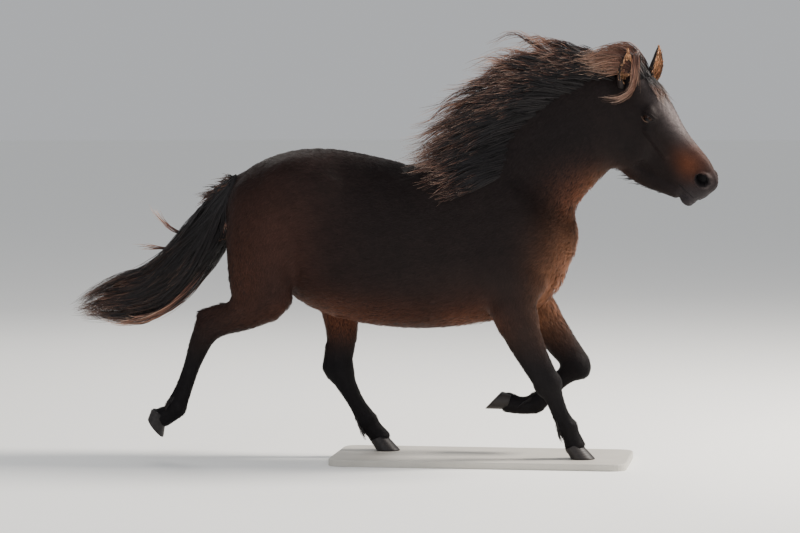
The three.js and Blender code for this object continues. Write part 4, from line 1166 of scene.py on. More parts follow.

# %% [markdown]
# ## Colour of the coat
#
# The horse is a very dark bay: nearly black on the neck, shoulder and flank, warmer on the
# quarters, belly and breast, black below the knees, with a chestnut patch on the nose and a
# dark muzzle. Some of the colour is painted sunlight: a grey sheen on the forehead, a glow added
# to the breast's own tan and a copper rim under the neck. The colour is a function of the place
# on the body, written to a colour attribute.
# Skin and coat both ask the same function, so a gap between two tufts never shows.

# %% Markings
SEAL = np.array(srgb(31, 23, 22))
BLACK = np.array(srgb(19, 16, 18))
BAY = np.array(srgb(68, 41, 33))
# tan, also used as a painted glow of sunlight on the breast and a painted rim of light under the neck
TAN_AND_SUNLIT_GLOW = np.array(srgb(160, 109, 76))
CHESTNUT = np.array(srgb(122, 68, 42))
# painted highlight: a light grey sheen of sunlight on the dark coat of the forehead
PAINTED_SHEEN_GREY = np.array(srgb(148, 136, 135))
SMOKE = np.array(srgb(58, 54, 57))
# painted rim light: the copper of sunlight caught in the tips of long, fluffy hair
PAINTED_RIM_COPPER = np.array(srgb(150, 88, 56))
ZONES = [
    # colour, strength, centre and reach in the horse's frame
    (BAY, 0.75, (-880, 0, 960), (230, 400, 330)),  # quarters
    (BAY, 0.45, (-600, 0, 640), (560, 300, 120)),  # belly
    (BAY, 0.5, (-30, 0, 640), (170, 320, 130)),  # girth
    # the breast's own tan, made brighter as a painted glow of sunlight
    (TAN_AND_SUNLIT_GLOW, 0.75, (330, 0, 820), (110, 150, 190)),  # breast
    (TAN_AND_SUNLIT_GLOW, 0.6, (170, 0, 640), (130, 100, 130)),  # inside of the forearms
    (BLACK, 0.6, (380, 0, 1330), (260, 300, 230)),  # sides of the neck
    # painted rim light: a copper glow of sunlight along the underside of the neck
    (TAN_AND_SUNLIT_GLOW, 0.4, (530, -20, 1120), (72, 130, 105)),  # underside of the neck
]
FACE_ZONES = [
    # the same in the head's frame
    # painted sheen: the forehead is lightened for sunlight glancing off its dark coat
    (PAINTED_SHEEN_GREY, 0.5, (40, 0, 72), (190, 66, 44)),  # forehead
    (CHESTNUT, 0.85, (262, 0, 20), (70, 90, 56)),  # nose
    (SMOKE, 0.85, (385, 0, -50), (72, 90, 100)),  # muzzle
    (BLACK, 0.7, (0, 0, -10), (62, 130, 40)),  # round the eyes
    (BLACK, 0.45, (40, 0, -150), (170, 150, 110)),  # cheek
]


def falloff(place, centre, reach):
    """How strongly a soft oval zone acts at each point: 1 in its middle, fading all round."""
    return np.exp(-(((place - centre) / reach) ** 2).sum(1))


def ripple(p, scale, seed):
    """Smooth noise between -1 and 1, from a few crossing waves."""
    waves = np.random.default_rng(seed)
    total = 0
    for _ in range(5):
        direction = unit(waves.normal(size=3)) / scale * waves.uniform(0.6, 1.6)
        total = total + np.sin(p @ direction * 2 * math.pi + waves.uniform(0, 6))
    return total / 5


def coat_colour(p):
    q = to_head(p)
    colour = np.repeat(SEAL[None], len(p), 0)
    wander = 1 + 0.25 * ripple(p, 260, 3)[:, None]
    for zones, place in ((ZONES, p), (FACE_ZONES, q)):
        for paint, strength, centre, reach in zones:
            share = strength * falloff(place, centre, reach)[:, None] * wander
            if zones is FACE_ZONES:
                share = share * (p[:, :1] > FACE_FROM)
            colour = colour + (paint - colour) * share.clip(0, 1)
    low = smoothstep(520, 380, p[:, 2])[:, None]
    colour = colour + (BLACK - colour) * low
    return colour * (1 + 0.16 * ripple(p, 90, 5) + 0.1 * ripple(p, 35, 6))[:, None].clip(0.5, 1.6)


print("colour of the flank", coat_colour(np.array([[-365.0, -285, 917]])).round(3))

# %% [markdown]
# Every piece of the horse is made from points in millimetres, gets its colours, its unwrap and its
# finish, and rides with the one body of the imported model. The tufts of the body also say which way
# they face, because a coat of flat blades that are lit each by its own face would glitter.

# %% From points to a piece
def to_metres(p):
    return p * MM + np.array([0, 0, GROUND])


def set_colours(of_mesh, colour):
    layer = of_mesh.color_attributes.new(name="coat", type="FLOAT_COLOR", domain="POINT")
    rgba = np.ones((len(colour), 4), np.float32)
    rgba[:, :3] = colour
    layer.data.foreach_set("color", rgba.ravel())


def make_smooth(of_mesh):
    of_mesh.polygons.foreach_set("use_smooth", np.ones(len(of_mesh.polygons), bool))


def finish_piece(name, of_mesh, paint, *nodes, slot):
    """A mesh with its paint becomes a piece that rides with the horse."""
    of_mesh.materials.append(paint)
    piece = bpy.data.objects.new(name, of_mesh)
    bpy.context.collection.objects.link(piece)
    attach(piece, "root")
    if nodes:
        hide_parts(*nodes)


def make_piece(name, places, faces, paint, *nodes, slot, colour=None, uv_corners=None, facing=None):
    faces = np.asarray(faces)
    sides = faces.shape[1]
    made = bpy.data.meshes.new(name)
    made.vertices.add(len(places))
    made.vertices.foreach_set("co", to_metres(np.asarray(places)).astype(np.float32).ravel())
    made.loops.add(faces.size)
    made.loops.foreach_set("vertex_index", faces.astype(np.int32).ravel())
    made.polygons.add(len(faces))
    made.polygons.foreach_set("loop_start", np.arange(0, faces.size, sides, dtype=np.int32))
    make_smooth(made)
    made.update(calc_edges=True)
    if facing is not None:
        made.normals_split_custom_set_from_vertices(facing.astype(np.float32))
    if colour is not None:
        set_colours(made, colour)
    if uv_corners is not None:
        made.uv_layers.new(name="OFBake").data.foreach_set("uv", uv_corners.astype(np.float32).ravel())
    finish_piece(name, made, paint, *nodes, slot=slot)
    print(name, len(faces) * (sides - 2), "triangles")


# %% [markdown]
# Skin and tufts share one recipe: the coat attribute, a fine noise so that neighbouring tufts
# differ, and the faint sheen of healthy hair. The skin adds a bump of short strokes for the fur
# that lies too flat to break the outline.

# %% Coat material and skin
def coat_material(name, strokes):
    material, tree, shader = new_material(name, 0.62, 0.14)
    grain = noise(tree, 170.0, 2.0)
    shade = add_node(tree, "Math", set_operation="MULTIPLY_ADD", i0=grain, i1=0.6, i2=0.7).outputs[0]
    colour = mix_colour(tree, 1.0, colour_layer(tree), shade, "MULTIPLY")
    tree.links.new(colour, shader.inputs["Base Color"])
    shader.inputs["Sheen Weight"].default_value = 0.02
    shader.inputs["Sheen Roughness"].default_value = 0.5
    if strokes:
        bump(tree, shader, noise(tree, 420.0, 3.0), 0.0012, 0.5)
    return material


MOIST_SKIN = srgb(30, 25, 26)
PALE_LID = srgb(150, 122, 104)
# near black, the colour of the painted shade in nostrils and eye sockets
PAINTED_RECESS_SHADE = srgb(7, 5, 6)
points = read(mesh.vertices, "co", 3)
colour = coat_colour(points)
for paint, where in ((MOIST_SKIN, moist), (PALE_LID, pale), (PAINTED_RECESS_SHADE, recess_shade)):
    colour = colour + (np.array(paint) - colour) * where[:, None].clip(0, 1)
set_colours(mesh, colour)
write_points(mesh, to_metres(points))
make_smooth(mesh)
flesh_nodes = ["torso", "neck", "head"] + [f"leg_{leg}_{part}" for leg in LEGS for part in ("upper", "lower")]
finish_piece("skin", mesh, coat_material("skin_coat", True), *flesh_nodes, slot="coat")
print("skin", len(mesh.polygons), "faces, colours", colour.min().round(3), "to", colour.max().round(3))

# %% [markdown]
# ## The short coat
#
# A tuft is a thin blade of three triangles: two points at the root, two in the middle, one at the
# tip. It leaves the skin at a low angle and its tip falls back along the lie. Particle hair would be
# quicker to comb, but it is lost on export; these are real faces. Roots are scattered evenly by area,
# with more and smaller tufts on the face and legs, where the real coat is shortest.

# %% Length of the coat
SOFT_PLACES = [
    # where the coat is long and fluffy: centre, reach, length added in millimetres
    ((330, 0, 800), (110, 170, 200), 16),
    ((150, 0, 640), (150, 110, 120), 12),
    ((430, -20, 1140), (160, 90, 130), 12),
    ((-620, 0, 610), (420, 200, 90), 10),
    ((-40, 0, 600), (160, 200, 70), 12),
    ((-1000, 0, 800), (90, 200, 200), 8),
]
BODY_HAIR, LEG_HAIR, FACE_HAIR = 21.0, 13, 8.5
JAW_HAIR = 9  # how much longer than the face's the hair under the jaw is
HOOF_REACH = 62  # no coat grows this near the middle of a sole


def coat_length(p):
    q = to_head(p)
    length = np.full(len(p), BODY_HAIR)
    for centre, reach, more in SOFT_PLACES:
        length += more * falloff(p, centre, reach)
    leg = smoothstep(560, 380, p[:, 2])
    length += (LEG_HAIR - length) * leg
    face = (p[:, 0] > FACE_FROM) * smoothstep(-190, -40, q[:, 0])
    jaw = JAW_HAIR * smoothstep(-60, -160, q[:, 2]) * smoothstep(300, 200, q[:, 0])
    return length + (FACE_HAIR + jaw - length) * face


def fluff(p):
    return np.max([falloff(p, centre, reach) for centre, reach, _ in SOFT_PLACES], 0)


lengths = coat_length(points)
for leg in LEGS.values():
    bare = np.maximum(bare, np.linalg.norm(points - np.array(leg["sole"]), axis=1) < HOOF_REACH)
print("coat from", lengths.min().round(1), "to", lengths.max().round(1), "mm long")

# %% [markdown]
# A triangle of the skin is chosen by its area, divided by a power of the hair's length there, so
# short hair stands closer. The place in the triangle is random too, and the skin's values are read
# off at that place.

# %% Roots of the coat
rng = np.random.default_rng(7)
TUFTS = 320000
mesh.calc_loop_triangles()
triangles = read(mesh.loop_triangles, "vertices", 3, int)
triangle_corners = read(mesh.loop_triangles, "loops", 3, int)
corner_a, corner_b, corner_c = (points[triangles[:, k]] for k in range(3))
areas = np.linalg.norm(np.cross(corner_b - corner_a, corner_c - corner_a), axis=1) / 2
want = areas * (1 - bare[triangles].max(1)) / lengths[triangles].mean(1) ** 1.6
chosen = rng.choice(len(triangles), TUFTS, p=want / want.sum())
mix = rng.random((TUFTS, 2))
mix = np.where(mix.sum(1, keepdims=True) > 1, 1 - mix, mix)
mix = np.column_stack([1 - mix.sum(1), mix])


def at_roots(values, which=triangles):
    return (values[which[chosen]] * mix.reshape(len(mix), 3, *(1,) * (values.ndim - 1))).sum(1)


roots, root_normals, root_flow = at_roots(points), unit(at_roots(normals)), unit(at_roots(flow))
root_uv = at_roots(unwrap, triangle_corners)
print("tufts", TUFTS, "on", round(areas.sum() * MM**2, 2), "square metres of skin")

# %% [markdown]
# No two tufts are the same: each is turned a little, rolled a little, and raised more where the
# coat is fluffy. A slow ripple across the whole horse turns neighbours together, which gives the
# broken, combed look of a real coat.

# %% Shape of the tufts
length = at_roots(lengths) * rng.uniform(0.75, 1.2, TUFTS)
soft = fluff(roots)
yaw = rng.normal(0, 0.16, TUFTS) * (1 + 1.4 * soft) + 0.22 * ripple(roots, 190, 11)
side = np.cross(root_normals, root_flow)
heading = root_flow * np.cos(yaw)[:, None] + side * np.sin(yaw)[:, None]
side = np.cross(root_normals, heading)
roll = rng.normal(0, 0.25, TUFTS)
side = side * np.cos(roll)[:, None] + root_normals * np.sin(roll)[:, None]
lift = length * (0.1 + 0.1 * rng.random(TUFTS) + 0.26 * soft * rng.random(TUFTS))
half = length * rng.uniform(0.04, 0.062, TUFTS)
base = roots - root_normals * 0.6
middle = roots + heading * (length * 0.5)[:, None] + root_normals * (lift * 0.85)[:, None]
tip = roots + heading * length[:, None] + root_normals * lift[:, None] * 0.9
tip += side * (rng.normal(0, 0.1, TUFTS) * length)[:, None]
blade = np.stack([
    base - side * half[:, None] * 0.8,
    base + side * half[:, None] * 0.8,
    middle - side * half[:, None],
    middle + side * half[:, None],
    tip,
], 1)
BLADE_FACES = np.array([(0, 3, 1), (0, 2, 3), (2, 4, 3)])
print("a tuft is about", length.mean().round(1), "mm long and", (2 * half).mean().round(1), "mm wide")

# %% [markdown]
# A tuft takes the skin's colour at its root, is a little lighter or darker than its neighbours and
# is lightest at its tip. Where the coat is long the tip is painted copper, a painted rim of
# sunlight. Its five points share one direction to face, near the skin's own, so the coat is lit
# as one surface.

# %% Colour of the tufts
shade = rng.normal(1, 0.13, TUFTS).clip(0.6, 1.5)
root_colour = coat_colour(roots)
LIGHTER_ALONG = np.array([0.82, 0.82, 1.0, 1.0, 1.25])
# how much painted rim light each point of a tuft takes, most at the tip
RIM_LIGHT_ALONG = np.array([0, 0, 0.3, 0.3, 0.8])
blade_facing = root_normals + heading * 0.12 + side * rng.normal(0, 0.16, TUFTS)[:, None]
blade_facing = np.repeat(unit(blade_facing)[:, None], 5, 1)
tuft_colour = root_colour[:, None, :] * shade[:, None, None] * LIGHTER_ALONG[None, :, None]
# painted rim of sunlight on the tips, where the coat is long
sunlit_rims = RIM_LIGHT_ALONG[None, :, None] * soft[:, None, None]
tuft_colour = tuft_colour + (PAINTED_RIM_COPPER - tuft_colour) * sunlit_rims
PATCH_SIZE = 0.0015  # half the size of one hair's patch on the unwrap
PATCH = np.array([(-1, -1), (1, -1), (-1, 0), (1, 0), (0, 1)]) * PATCH_SIZE
tuft_uv = root_uv[:, None, :] + PATCH[None]

coat_paint = coat_material("coat_hair", False)
root_section = at_roots(np.eye(len(SECTIONS))[section]).argmax(1)
right_half, right_cheek = roots[:, 1] < 0, to_head(roots)[:, 1] < 0
coat_parts = {
    "coat_right": (root_section == ON_TRUNK) & right_half,
    "coat_left": (root_section == ON_TRUNK) & ~right_half,
    "coat_neck": (root_section == ON_NECK) | (root_section == ON_DOCK),
    "coat_face_right": (root_section == ON_HEAD) & right_cheek,
    "coat_face_left": (root_section == ON_HEAD) & ~right_cheek,
    "coat_hind_legs": (root_section >= ON_LEGS) & (root_section < ON_FORELEGS),
    "coat_fore_legs": root_section >= ON_FORELEGS,
}


def blade_faces(count):
    """The faces of a number of blades, five points each, one blade after the other."""
    return (np.arange(count)[:, None, None] * 5 + BLADE_FACES[None]).reshape(-1, 3)


for name, picked in coat_parts.items():
    corners = tuft_uv[picked][:, BLADE_FACES].reshape(-1, 2)
    make_piece(name, blade[picked].reshape(-1, 3), blade_faces(int(picked.sum())), coat_paint, slot="coat",
               colour=tuft_colour[picked].reshape(-1, 3), uv_corners=corners,
               facing=blade_facing[picked].reshape(-1, 3))

# %% [markdown]
# ## Long hair
#
# Mane, forelock, tail, beard and feather are made of strands: narrow ribbons with a raised middle,
# so that they catch light like a round hair but cost four triangles a step. Strands grow in locks.
# Each lock follows one guide line; its strands start spread over its width and gather to the tip.

# %% Guide lines
hair_rng = np.random.default_rng(20)
STATIONS = 10
t = np.linspace(0, 1, STATIONS)[None]  # the stations of every guide line, from its root to its tip


def curve_through(rows):
    """Many points on a smooth curve through rows of numbers."""
    return smooth_rows(rows, 12)


def point_at(curve, share):
    place = np.clip(share, 0, 1) * (len(curve) - 1)
    k = np.minimum(place.astype(int), len(curve) - 2)
    f = (place - k)[..., None]
    return curve[k] * (1 - f) + curve[k + 1] * f


def clear_of_flesh(places, clearance, rounds=4):
    """Pushes points out of the flesh until each is clear by its own distance."""
    shape = places.shape
    p = places.reshape(-1, 3).copy()
    clearance = np.broadcast_to(clearance, shape[:-1]).reshape(-1)
    for _ in range(rounds):
        short = clearance - (flesh(p) + 0.5 * coat_depth(p))
        low = np.flatnonzero(short > 0.3)
        if not len(low):
            break
        p[low] += unit(slope_of(flesh, p[low]) + 1e-9) * np.minimum(short[low], 30)[:, None]
    return p.reshape(shape)


def away_from_flesh(guides):
    """The way out of the flesh at each point of the guide lines."""
    return unit(slope_of(flesh, guides.reshape(-1, 3)) + 1e-9).reshape(guides.shape)


print("stations on a guide line", STATIONS)

# %% [markdown]
# A lock is wide and thick in millimetres. Its strands curl round the guide towards the tip, fray
# away from it at random, and end at different lengths, the shortest at a given share.

# %% Locks
def side_and_out(along, facings):
    """Across the hair and out of it, from the way it runs and the way it faces."""
    out = unit(facings - along * (facings * along).sum(-1, keepdims=True))
    return np.cross(along, out), out


def hair_from(guides, facings, count, wide, thick, curl, fray, shortest):
    """Strands round each guide. Guides and facings: (locks, stations, 3), and so is each result."""
    locks, stations = guides.shape[:2]
    along = unit(np.gradient(guides, axis=1))
    side, normal = side_and_out(along, facings)
    row = np.arange(locks)[:, None]
    out_paths, out_facings = [], []
    for _ in range(count):
        radius, angle = np.sqrt(hair_rng.random(locks)), hair_rng.uniform(0, 2 * math.pi, locks)
        a, b = radius * np.cos(angle), radius * np.sin(angle)
        reach = hair_rng.uniform(shortest, 1.06, locks)[:, None] * t
        place = np.minimum(reach, 1) * (stations - 1)
        low = np.minimum(place.astype(int), stations - 2)
        f = (place - low)[..., None]
        spot = guides[row, low] * (1 - f) + guides[row, low + 1] * f
        spot = spot + along[:, -1][:, None] * (np.maximum(reach - 1, 0) * 200)[..., None]
        s, n = side[row, low], normal[row, low]
        spread = 0.62 + 0.5 * np.sin(np.pi * np.minimum(reach * 1.15, 1)) - 0.34 * reach**2
        wave = hair_rng.uniform(0, 6, locks)[:, None] + reach * hair_rng.uniform(5, 11, locks)[:, None]
        swirl = curl * reach**1.4
        across = a[:, None] * wide * spread + swirl * np.sin(wave)
        over = b[:, None] * thick * spread + swirl * 0.7 * np.cos(wave)
        stray = hair_rng.normal(0, fray, (locks, 3))[:, None] * (reach**2.2)[..., None]
        out_paths.append(spot + s * across[..., None] + n * over[..., None] + stray)
        out_facings.append(unit(n + 0.5 * hair_rng.normal(size=(locks, 1, 3))))
    return np.concatenate(out_paths), np.concatenate(out_facings)


HAIR_BLACK = np.array(srgb(24, 20, 21))
HAIR_COPPER = np.array(srgb(116, 74, 60))
HAIR_GOLD = np.array(srgb(192, 150, 124))
HAIR_CREAM = np.array(srgb(224, 200, 182))


def hair_colours(paths, exposure, begins):
    """Black at the root; from a share of its length a strand fades to copper, gold and cream, partly its own
    bleached ends and partly a painted rim of sunlight.
    """
    strands = len(paths)
    fade = (exposure * hair_rng.uniform(0.1, 1.4, strands)).clip(0, 1)[:, None, None]
    bleach_and_rim_light = ((t - begins) / (1 - begins))[..., None]
    colour = HAIR_BLACK + (HAIR_COPPER - HAIR_BLACK) * smoothstep(0.0, 0.6, bleach_and_rim_light) * fade
    colour = colour + (HAIR_GOLD - colour) * smoothstep(0.35, 1.0, bleach_and_rim_light) * fade * 0.7
    colour = colour + (HAIR_CREAM - colour) * smoothstep(0.75, 1.05, bleach_and_rim_light) * fade**2 * 0.6
    return colour * hair_rng.lognormal(0, 0.34, (strands, 1, 1)).clip(0.4, 2.2)


grown = {"paths": [], "facings": [], "colours": []}


def grow(guides, facing, count, wide, thick, curl, fray, shortest, pale, begins=0.55):
    """Adds the strands of some locks to those that the next piece is made from."""
    facing = np.broadcast_to(facing, guides.shape)
    strands, faces_out = hair_from(guides, facing, count, wide, thick, curl, fray, shortest)
    grown["paths"].append(strands)
    grown["facings"].append(faces_out)
    grown["colours"].append(hair_colours(strands, pale, begins))


def gather():
    """All the strands grown since the last piece: their paths, facings and colours."""
    gathered = [np.concatenate(rows) for rows in grown.values()]
    for rows in grown.values():
        rows.clear()
    return gathered


print("colours of a strand from", HAIR_BLACK.round(3), "to", HAIR_CREAM.round(3))

# %% [markdown]
# A strand's patch on the unwrap is that of the skin nearest to its root, so that a mane baked to a
# picture stays beside the neck it grows from. A tree of the skin's points finds that place.

# %% Ribbons
skin_points = read(mesh.vertices, "co", 3)
skin_tree = KDTree(len(skin_points))
for i, p in enumerate(skin_points):
    skin_tree.insert(p, i)
skin_tree.balance()
skin_uv = np.zeros((len(skin_points), 2))
skin_uv[corner_points] = unwrap

hair_paint, hair_tree, hair_shader = new_material("long_hair", 0.42, 0.25)
hair_tree.links.new(colour_layer(hair_tree), hair_shader.inputs["Base Color"])
hair_shader.inputs["Sheen Weight"].default_value = 0.1


def nearest_uv(places):
    return skin_uv[[skin_tree.find(to_metres(p))[1] for p in places]]


def ribbons(name, strands_of, width, *nodes):
    """Strands as ribbons: three points at each station, the middle one raised."""
    paths, facings, colours = strands_of
    strands, stations = paths.shape[:2]
    side, normal = side_and_out(unit(np.gradient(paths, axis=1) + 1e-9), facings)
    taper = (np.minimum(1, 0.55 + 2.2 * t) * (1 - 0.88 * t**3))[..., None]
    half = width.reshape(-1, 1, 1) * 0.5 * taper
    section_points = np.stack([paths - side * half, paths + normal * half * 0.8, paths + side * half], 2)
    step = np.arange(strands)[:, None] * stations * 3 + np.arange(stations - 1)[None] * 3
    quads = [np.stack([step + j, step + j + 1, step + j + 4, step + j + 3], -1) for j in (0, 1)]
    faces = np.stack(quads, 2).reshape(-1, 4)
    patch = np.stack(np.meshgrid([-1, 0, 1], np.linspace(-1, 1, stations)), -1).reshape(-1, 2) * PATCH_SIZE
    strand_uv = (nearest_uv(paths[:, 0])[:, None] + patch[None]).reshape(-1, 2)
    make_piece(name, section_points.reshape(-1, 3), faces, hair_paint, *nodes, slot="tail_hair",
               colour=np.repeat(colours[:, :, None, :], 3, 2).reshape(-1, 3),
               uv_corners=strand_uv[faces.ravel()])


print("tree of the skin", len(skin_points), "points")

# %% [markdown]
# The mane grows in a band along the crest and streams back in the wind of the trot. On each side
# it opens like a fan: nearly level behind the ears, falling towards the withers. Rows of locks start
# at several distances from the crest, so that they lie over each other like thatch.

# %% Crest
CREST = curve_through([
    (585, -44, 1560), (520, -34, 1520), (445, -24, 1465), (365, -14, 1395), (285, -6, 1320), (205, -2, 1240),
    (125, 0, 1160),
])
CREST_WAY = unit(np.gradient(CREST, axis=0))
FAN_SHARES = [0, 0.2, 0.35, 0.5, 0.65, 0.8, 0.95]
FAN_HEADING = [24, 14, 4, -8, -14, -19, -18]
FAN_LENGTH = [290, 350, 375, 405, 455, 420, 300]
FAN_LEAN = [0, 0, 0, 0, 3, 12, 42]
MOST_LEAN = 23  # the lean of the lowest row, which follows the fan's own lean in full


def crest_root(s, lean, sink=9):
    """Where a lock at a share of the crest, leaning to one side, leaves the neck, and the way out."""
    middle, way = point_at(CREST, s), unit(point_at(CREST_WAY, s))
    up = np.stack([way[:, 2], 0 * s, -way[:, 0]], 1)
    up = unit(up + (np.array([0, 0, 1]) - up) * np.maximum(1 - s / 0.2, 0)[:, None])
    tilt = np.radians(lean)[:, None]
    rootward = unit(up * np.cos(tilt) + np.array([0, 1, 0]) * np.sin(tilt))
    return middle + rootward * (reach_of(flesh, middle, rootward) - sink)[:, None], rootward


def streaming(heading):
    """Straight back, turned up by a heading in degrees."""
    angle = np.radians(heading)
    return np.stack([-np.cos(angle), np.zeros(len(angle)), np.sin(angle)], 1)


print("the crest is", round(np.linalg.norm(np.diff(CREST, axis=0), axis=1).sum()), "mm long")

# %% [markdown]
# A lock rises off the crest, peaks, and falls again as it streams back. The near side has three
# rows, one stands on the crest itself, and two fall to the far side.

# %% Mane
MANE = [
    # locks, strands in each, shares of the crest, lean at the root, turn of the heading, share of the
    # length, rise off the crest and where it peaks, drop and sideways reach at the tip, paleness and
    # where it begins
    (56, 24, 0.0, 0.98, -23, -2, 0.98, 16, 0.35, 26, -36, 0.7, 0.82),
    (44, 24, 0.0, 0.98, -17, 0, 1.02, 30, 0.4, 26, -30, 0.9, 0.78),
    (44, 22, 0.0, 0.97, -9, 1, 1.04, 46, 0.4, 30, -22, 1.1, 0.7),
    (40, 22, 0.0, 0.96, 0, 2, 1.0, 60, 0.4, 34, -6, 1.0, 0.45),
    (28, 22, 0.0, 0.95, 12, -6, 0.86, 36, 0.4, 44, 30, 0.7, 0.6),
    (32, 22, 0.02, 0.95, 24, -12, 0.78, 16, 0.4, 54, 56, 0.5, 0.7),
]


def hump(peak):
    rise = np.sin(math.pi / 2 * t / peak)
    fall = np.cos(math.pi / 2 * np.minimum((t - peak) / (0.8 - peak), 1))
    return np.where(t < peak, rise, fall)


def mane_row(locks, start, end, lean, turn, size, rise, peak, drop, out):
    """Guide lines and facings of one row of the mane, and each lock's share of the crest."""
    share = (np.arange(locks) + 0.5) / locks
    s = (start + (end - start) * share + hair_rng.normal(0, 0.01, locks)).clip(0, 1)
    outer = np.interp(s, FAN_SHARES, FAN_LEAN) * abs(lean) / MOST_LEAN
    leans = lean + math.copysign(1, lean) * outer + hair_rng.uniform(-4, 4, locks)
    root, rootward = crest_root(s, leans)
    stream = streaming(np.interp(s, FAN_SHARES, FAN_HEADING) + turn + hair_rng.normal(0, 5, locks))
    reach = np.interp(s, FAN_SHARES, FAN_LENGTH) * size * hair_rng.uniform(0.72, 1.06, locks)
    phase, sway = hair_rng.uniform(0, 6, (locks, 1)), hair_rng.uniform(6, 22, (locks, 1))
    raise_by = rise * (1 - 0.3 * s) * hair_rng.uniform(0.6, 1.3, locks)
    path = root[:, None] + stream[:, None] * (reach[:, None] * t)[..., None]
    path += rootward[:, None] * (raise_by[:, None] * hump(peak))[..., None]
    path[..., 2] += -drop * t**2 + sway * t * np.sin(phase + 4.5 * t)
    path[..., 1] += out * np.sin(t * 2.2) + sway * 0.9 * t * np.cos(phase + 4 * t)
    clearance = 2 + (8 + 0.3 * rise) * np.minimum(t * 1.6, 1) * hair_rng.uniform(0.4, 1.4, (locks, 1))
    path[:, 1:] = clear_of_flesh(path[:, 1:], clearance[:, 1:])
    facing = away_from_flesh(path)
    rolled = np.array([0, math.copysign(1, lean - 0.1), 0])
    return path, unit(facing + (rolled - facing) * 0.6), s


for locks, count, start, end, lean, turn, size, rise, peak, drop, out, pale, begins in MANE:
    guides, facing, s = mane_row(locks, start, end, lean, turn, size, rise, peak, drop, out)
    # palest nearest the ears: bleached ends and a painted rim of sunlight on the flying locks
    paleness = pale * (1 + 0.8 * smoothstep(0.4, 0.1, s))  # most bleached nearest the ears
    grow(guides, facing, count, wide=19, thick=8, curl=6, fray=15, shortest=0.5,
         pale=np.tile(paleness, count), begins=begins)
print("locks of the mane", sum(row[0] for row in MANE))

# %% [markdown]
# A few tufts behind the ears are caught by the wind, stand up and curl over at their tips. Short
# soft hair fills the roots, so that no bare skin shows between the rows.

# %% Flying tufts and short hair of the crest
FLYING, FILLING = 18, 150
s = np.linspace(0.1, 0.42, FLYING)
root, _ = crest_root(s, hair_rng.uniform(-12, 4, FLYING))
reach = hair_rng.uniform(220, 380, (FLYING, 1))
high = hair_rng.uniform(60, 158, (FLYING, 1)) * np.interp(s, [0.1, 0.24, 0.42], [0.7, 1.15, 0.5])[:, None]
guides = root[:, None] + np.stack([
    -reach * t + 26 * np.sin(2.6 * t) * t,
    hair_rng.uniform(-30, 20, (FLYING, 1)) * t,
    high * np.sin(np.minimum(t * 1.3, 1.25) * math.pi / 2) - 30 * np.maximum(t - 0.7, 0) / 0.3,
], -1)
guides[:, 1:] = clear_of_flesh(guides[:, 1:], 4)
grow(guides, [0.0, -1.0, 0.4], 20, wide=15, thick=8, curl=16, fray=16, shortest=0.45, pale=1.1, begins=0.25)

s = hair_rng.uniform(0, 0.98, FILLING)
root, rootward = crest_root(s, hair_rng.uniform(-26, 26, FILLING), 5)
stream = streaming(np.interp(s, FAN_SHARES, FAN_HEADING) + hair_rng.normal(0, 10, FILLING))
reach = hair_rng.uniform(90, 210, (FILLING, 1))
guides = root[:, None] + stream[:, None] * (reach * t)[..., None]
guides = guides + rootward[:, None] * (26 * np.sin(2.4 * t))[..., None]
guides[:, 1:] = clear_of_flesh(guides[:, 1:], 3)
grow(guides, rootward[:, None], 10, wide=24, thick=9, curl=5, fray=12, shortest=0.5, pale=0.1)

mane, mane_facing, mane_colour = gather()
mane[:, 1:] = clear_of_flesh(mane[:, 1:], 1.5, 2)
mane_width = hair_rng.uniform(2.0, 3.6, len(mane))
near_strands = sum(locks * count for locks, count, _, _, lean, *_ in MANE if lean < 0)
near_side = np.arange(len(mane)) < near_strands
for name, picked in (("mane_right", near_side), ("mane_left", ~near_side)):
    ribbons(name, (mane[picked], mane_facing[picked], mane_colour[picked]), mane_width[picked])

# %% [markdown]
# The forelock starts between the ears. Part of it is blown back over the poll, part is blown round
# the front of the right ear and trails off below it, and the rest lies on the forehead.

# %% Forelock
def top_of_head(x, y, sink):
    start = in_head(np.stack([x, y, np.full(len(x), -20.0)], 1))
    upward = np.repeat(HEAD_AXES[2][None], len(x), 0)
    return start + HEAD_AXES[2] * (reach_of(flesh, start, upward) - sink)[:, None]


BLOWN_BACK, ROUND_EAR, ON_FOREHEAD = 46, 13, 12
x, y = hair_rng.uniform(-196, -146, BLOWN_BACK), hair_rng.uniform(-46, 40, BLOWN_BACK)
start = top_of_head(x, y, 8)
height = hair_rng.uniform(26, 128, (BLOWN_BACK, 1)) * np.sin(math.pi / 2 * np.minimum(t * 1.9, 1.55))
swept = hair_rng.uniform(190, 330, (BLOWN_BACK, 1)) * t**1.3
guides = start[:, None] + np.stack([-swept, hair_rng.uniform(-60, 6, (BLOWN_BACK, 1)) * t, height], -1)
guides += 9 * np.sin(hair_rng.uniform(0, 6, (BLOWN_BACK, 1, 3)) + 5 * t[..., None]) * t[..., None]
guides[:, 1:] = clear_of_flesh(guides[:, 1:], 4)
grow(guides, [0.0, -1.0, 0.3], 24, wide=18, thick=9, curl=8, fray=13, shortest=0.55, pale=1.0, begins=0.1)

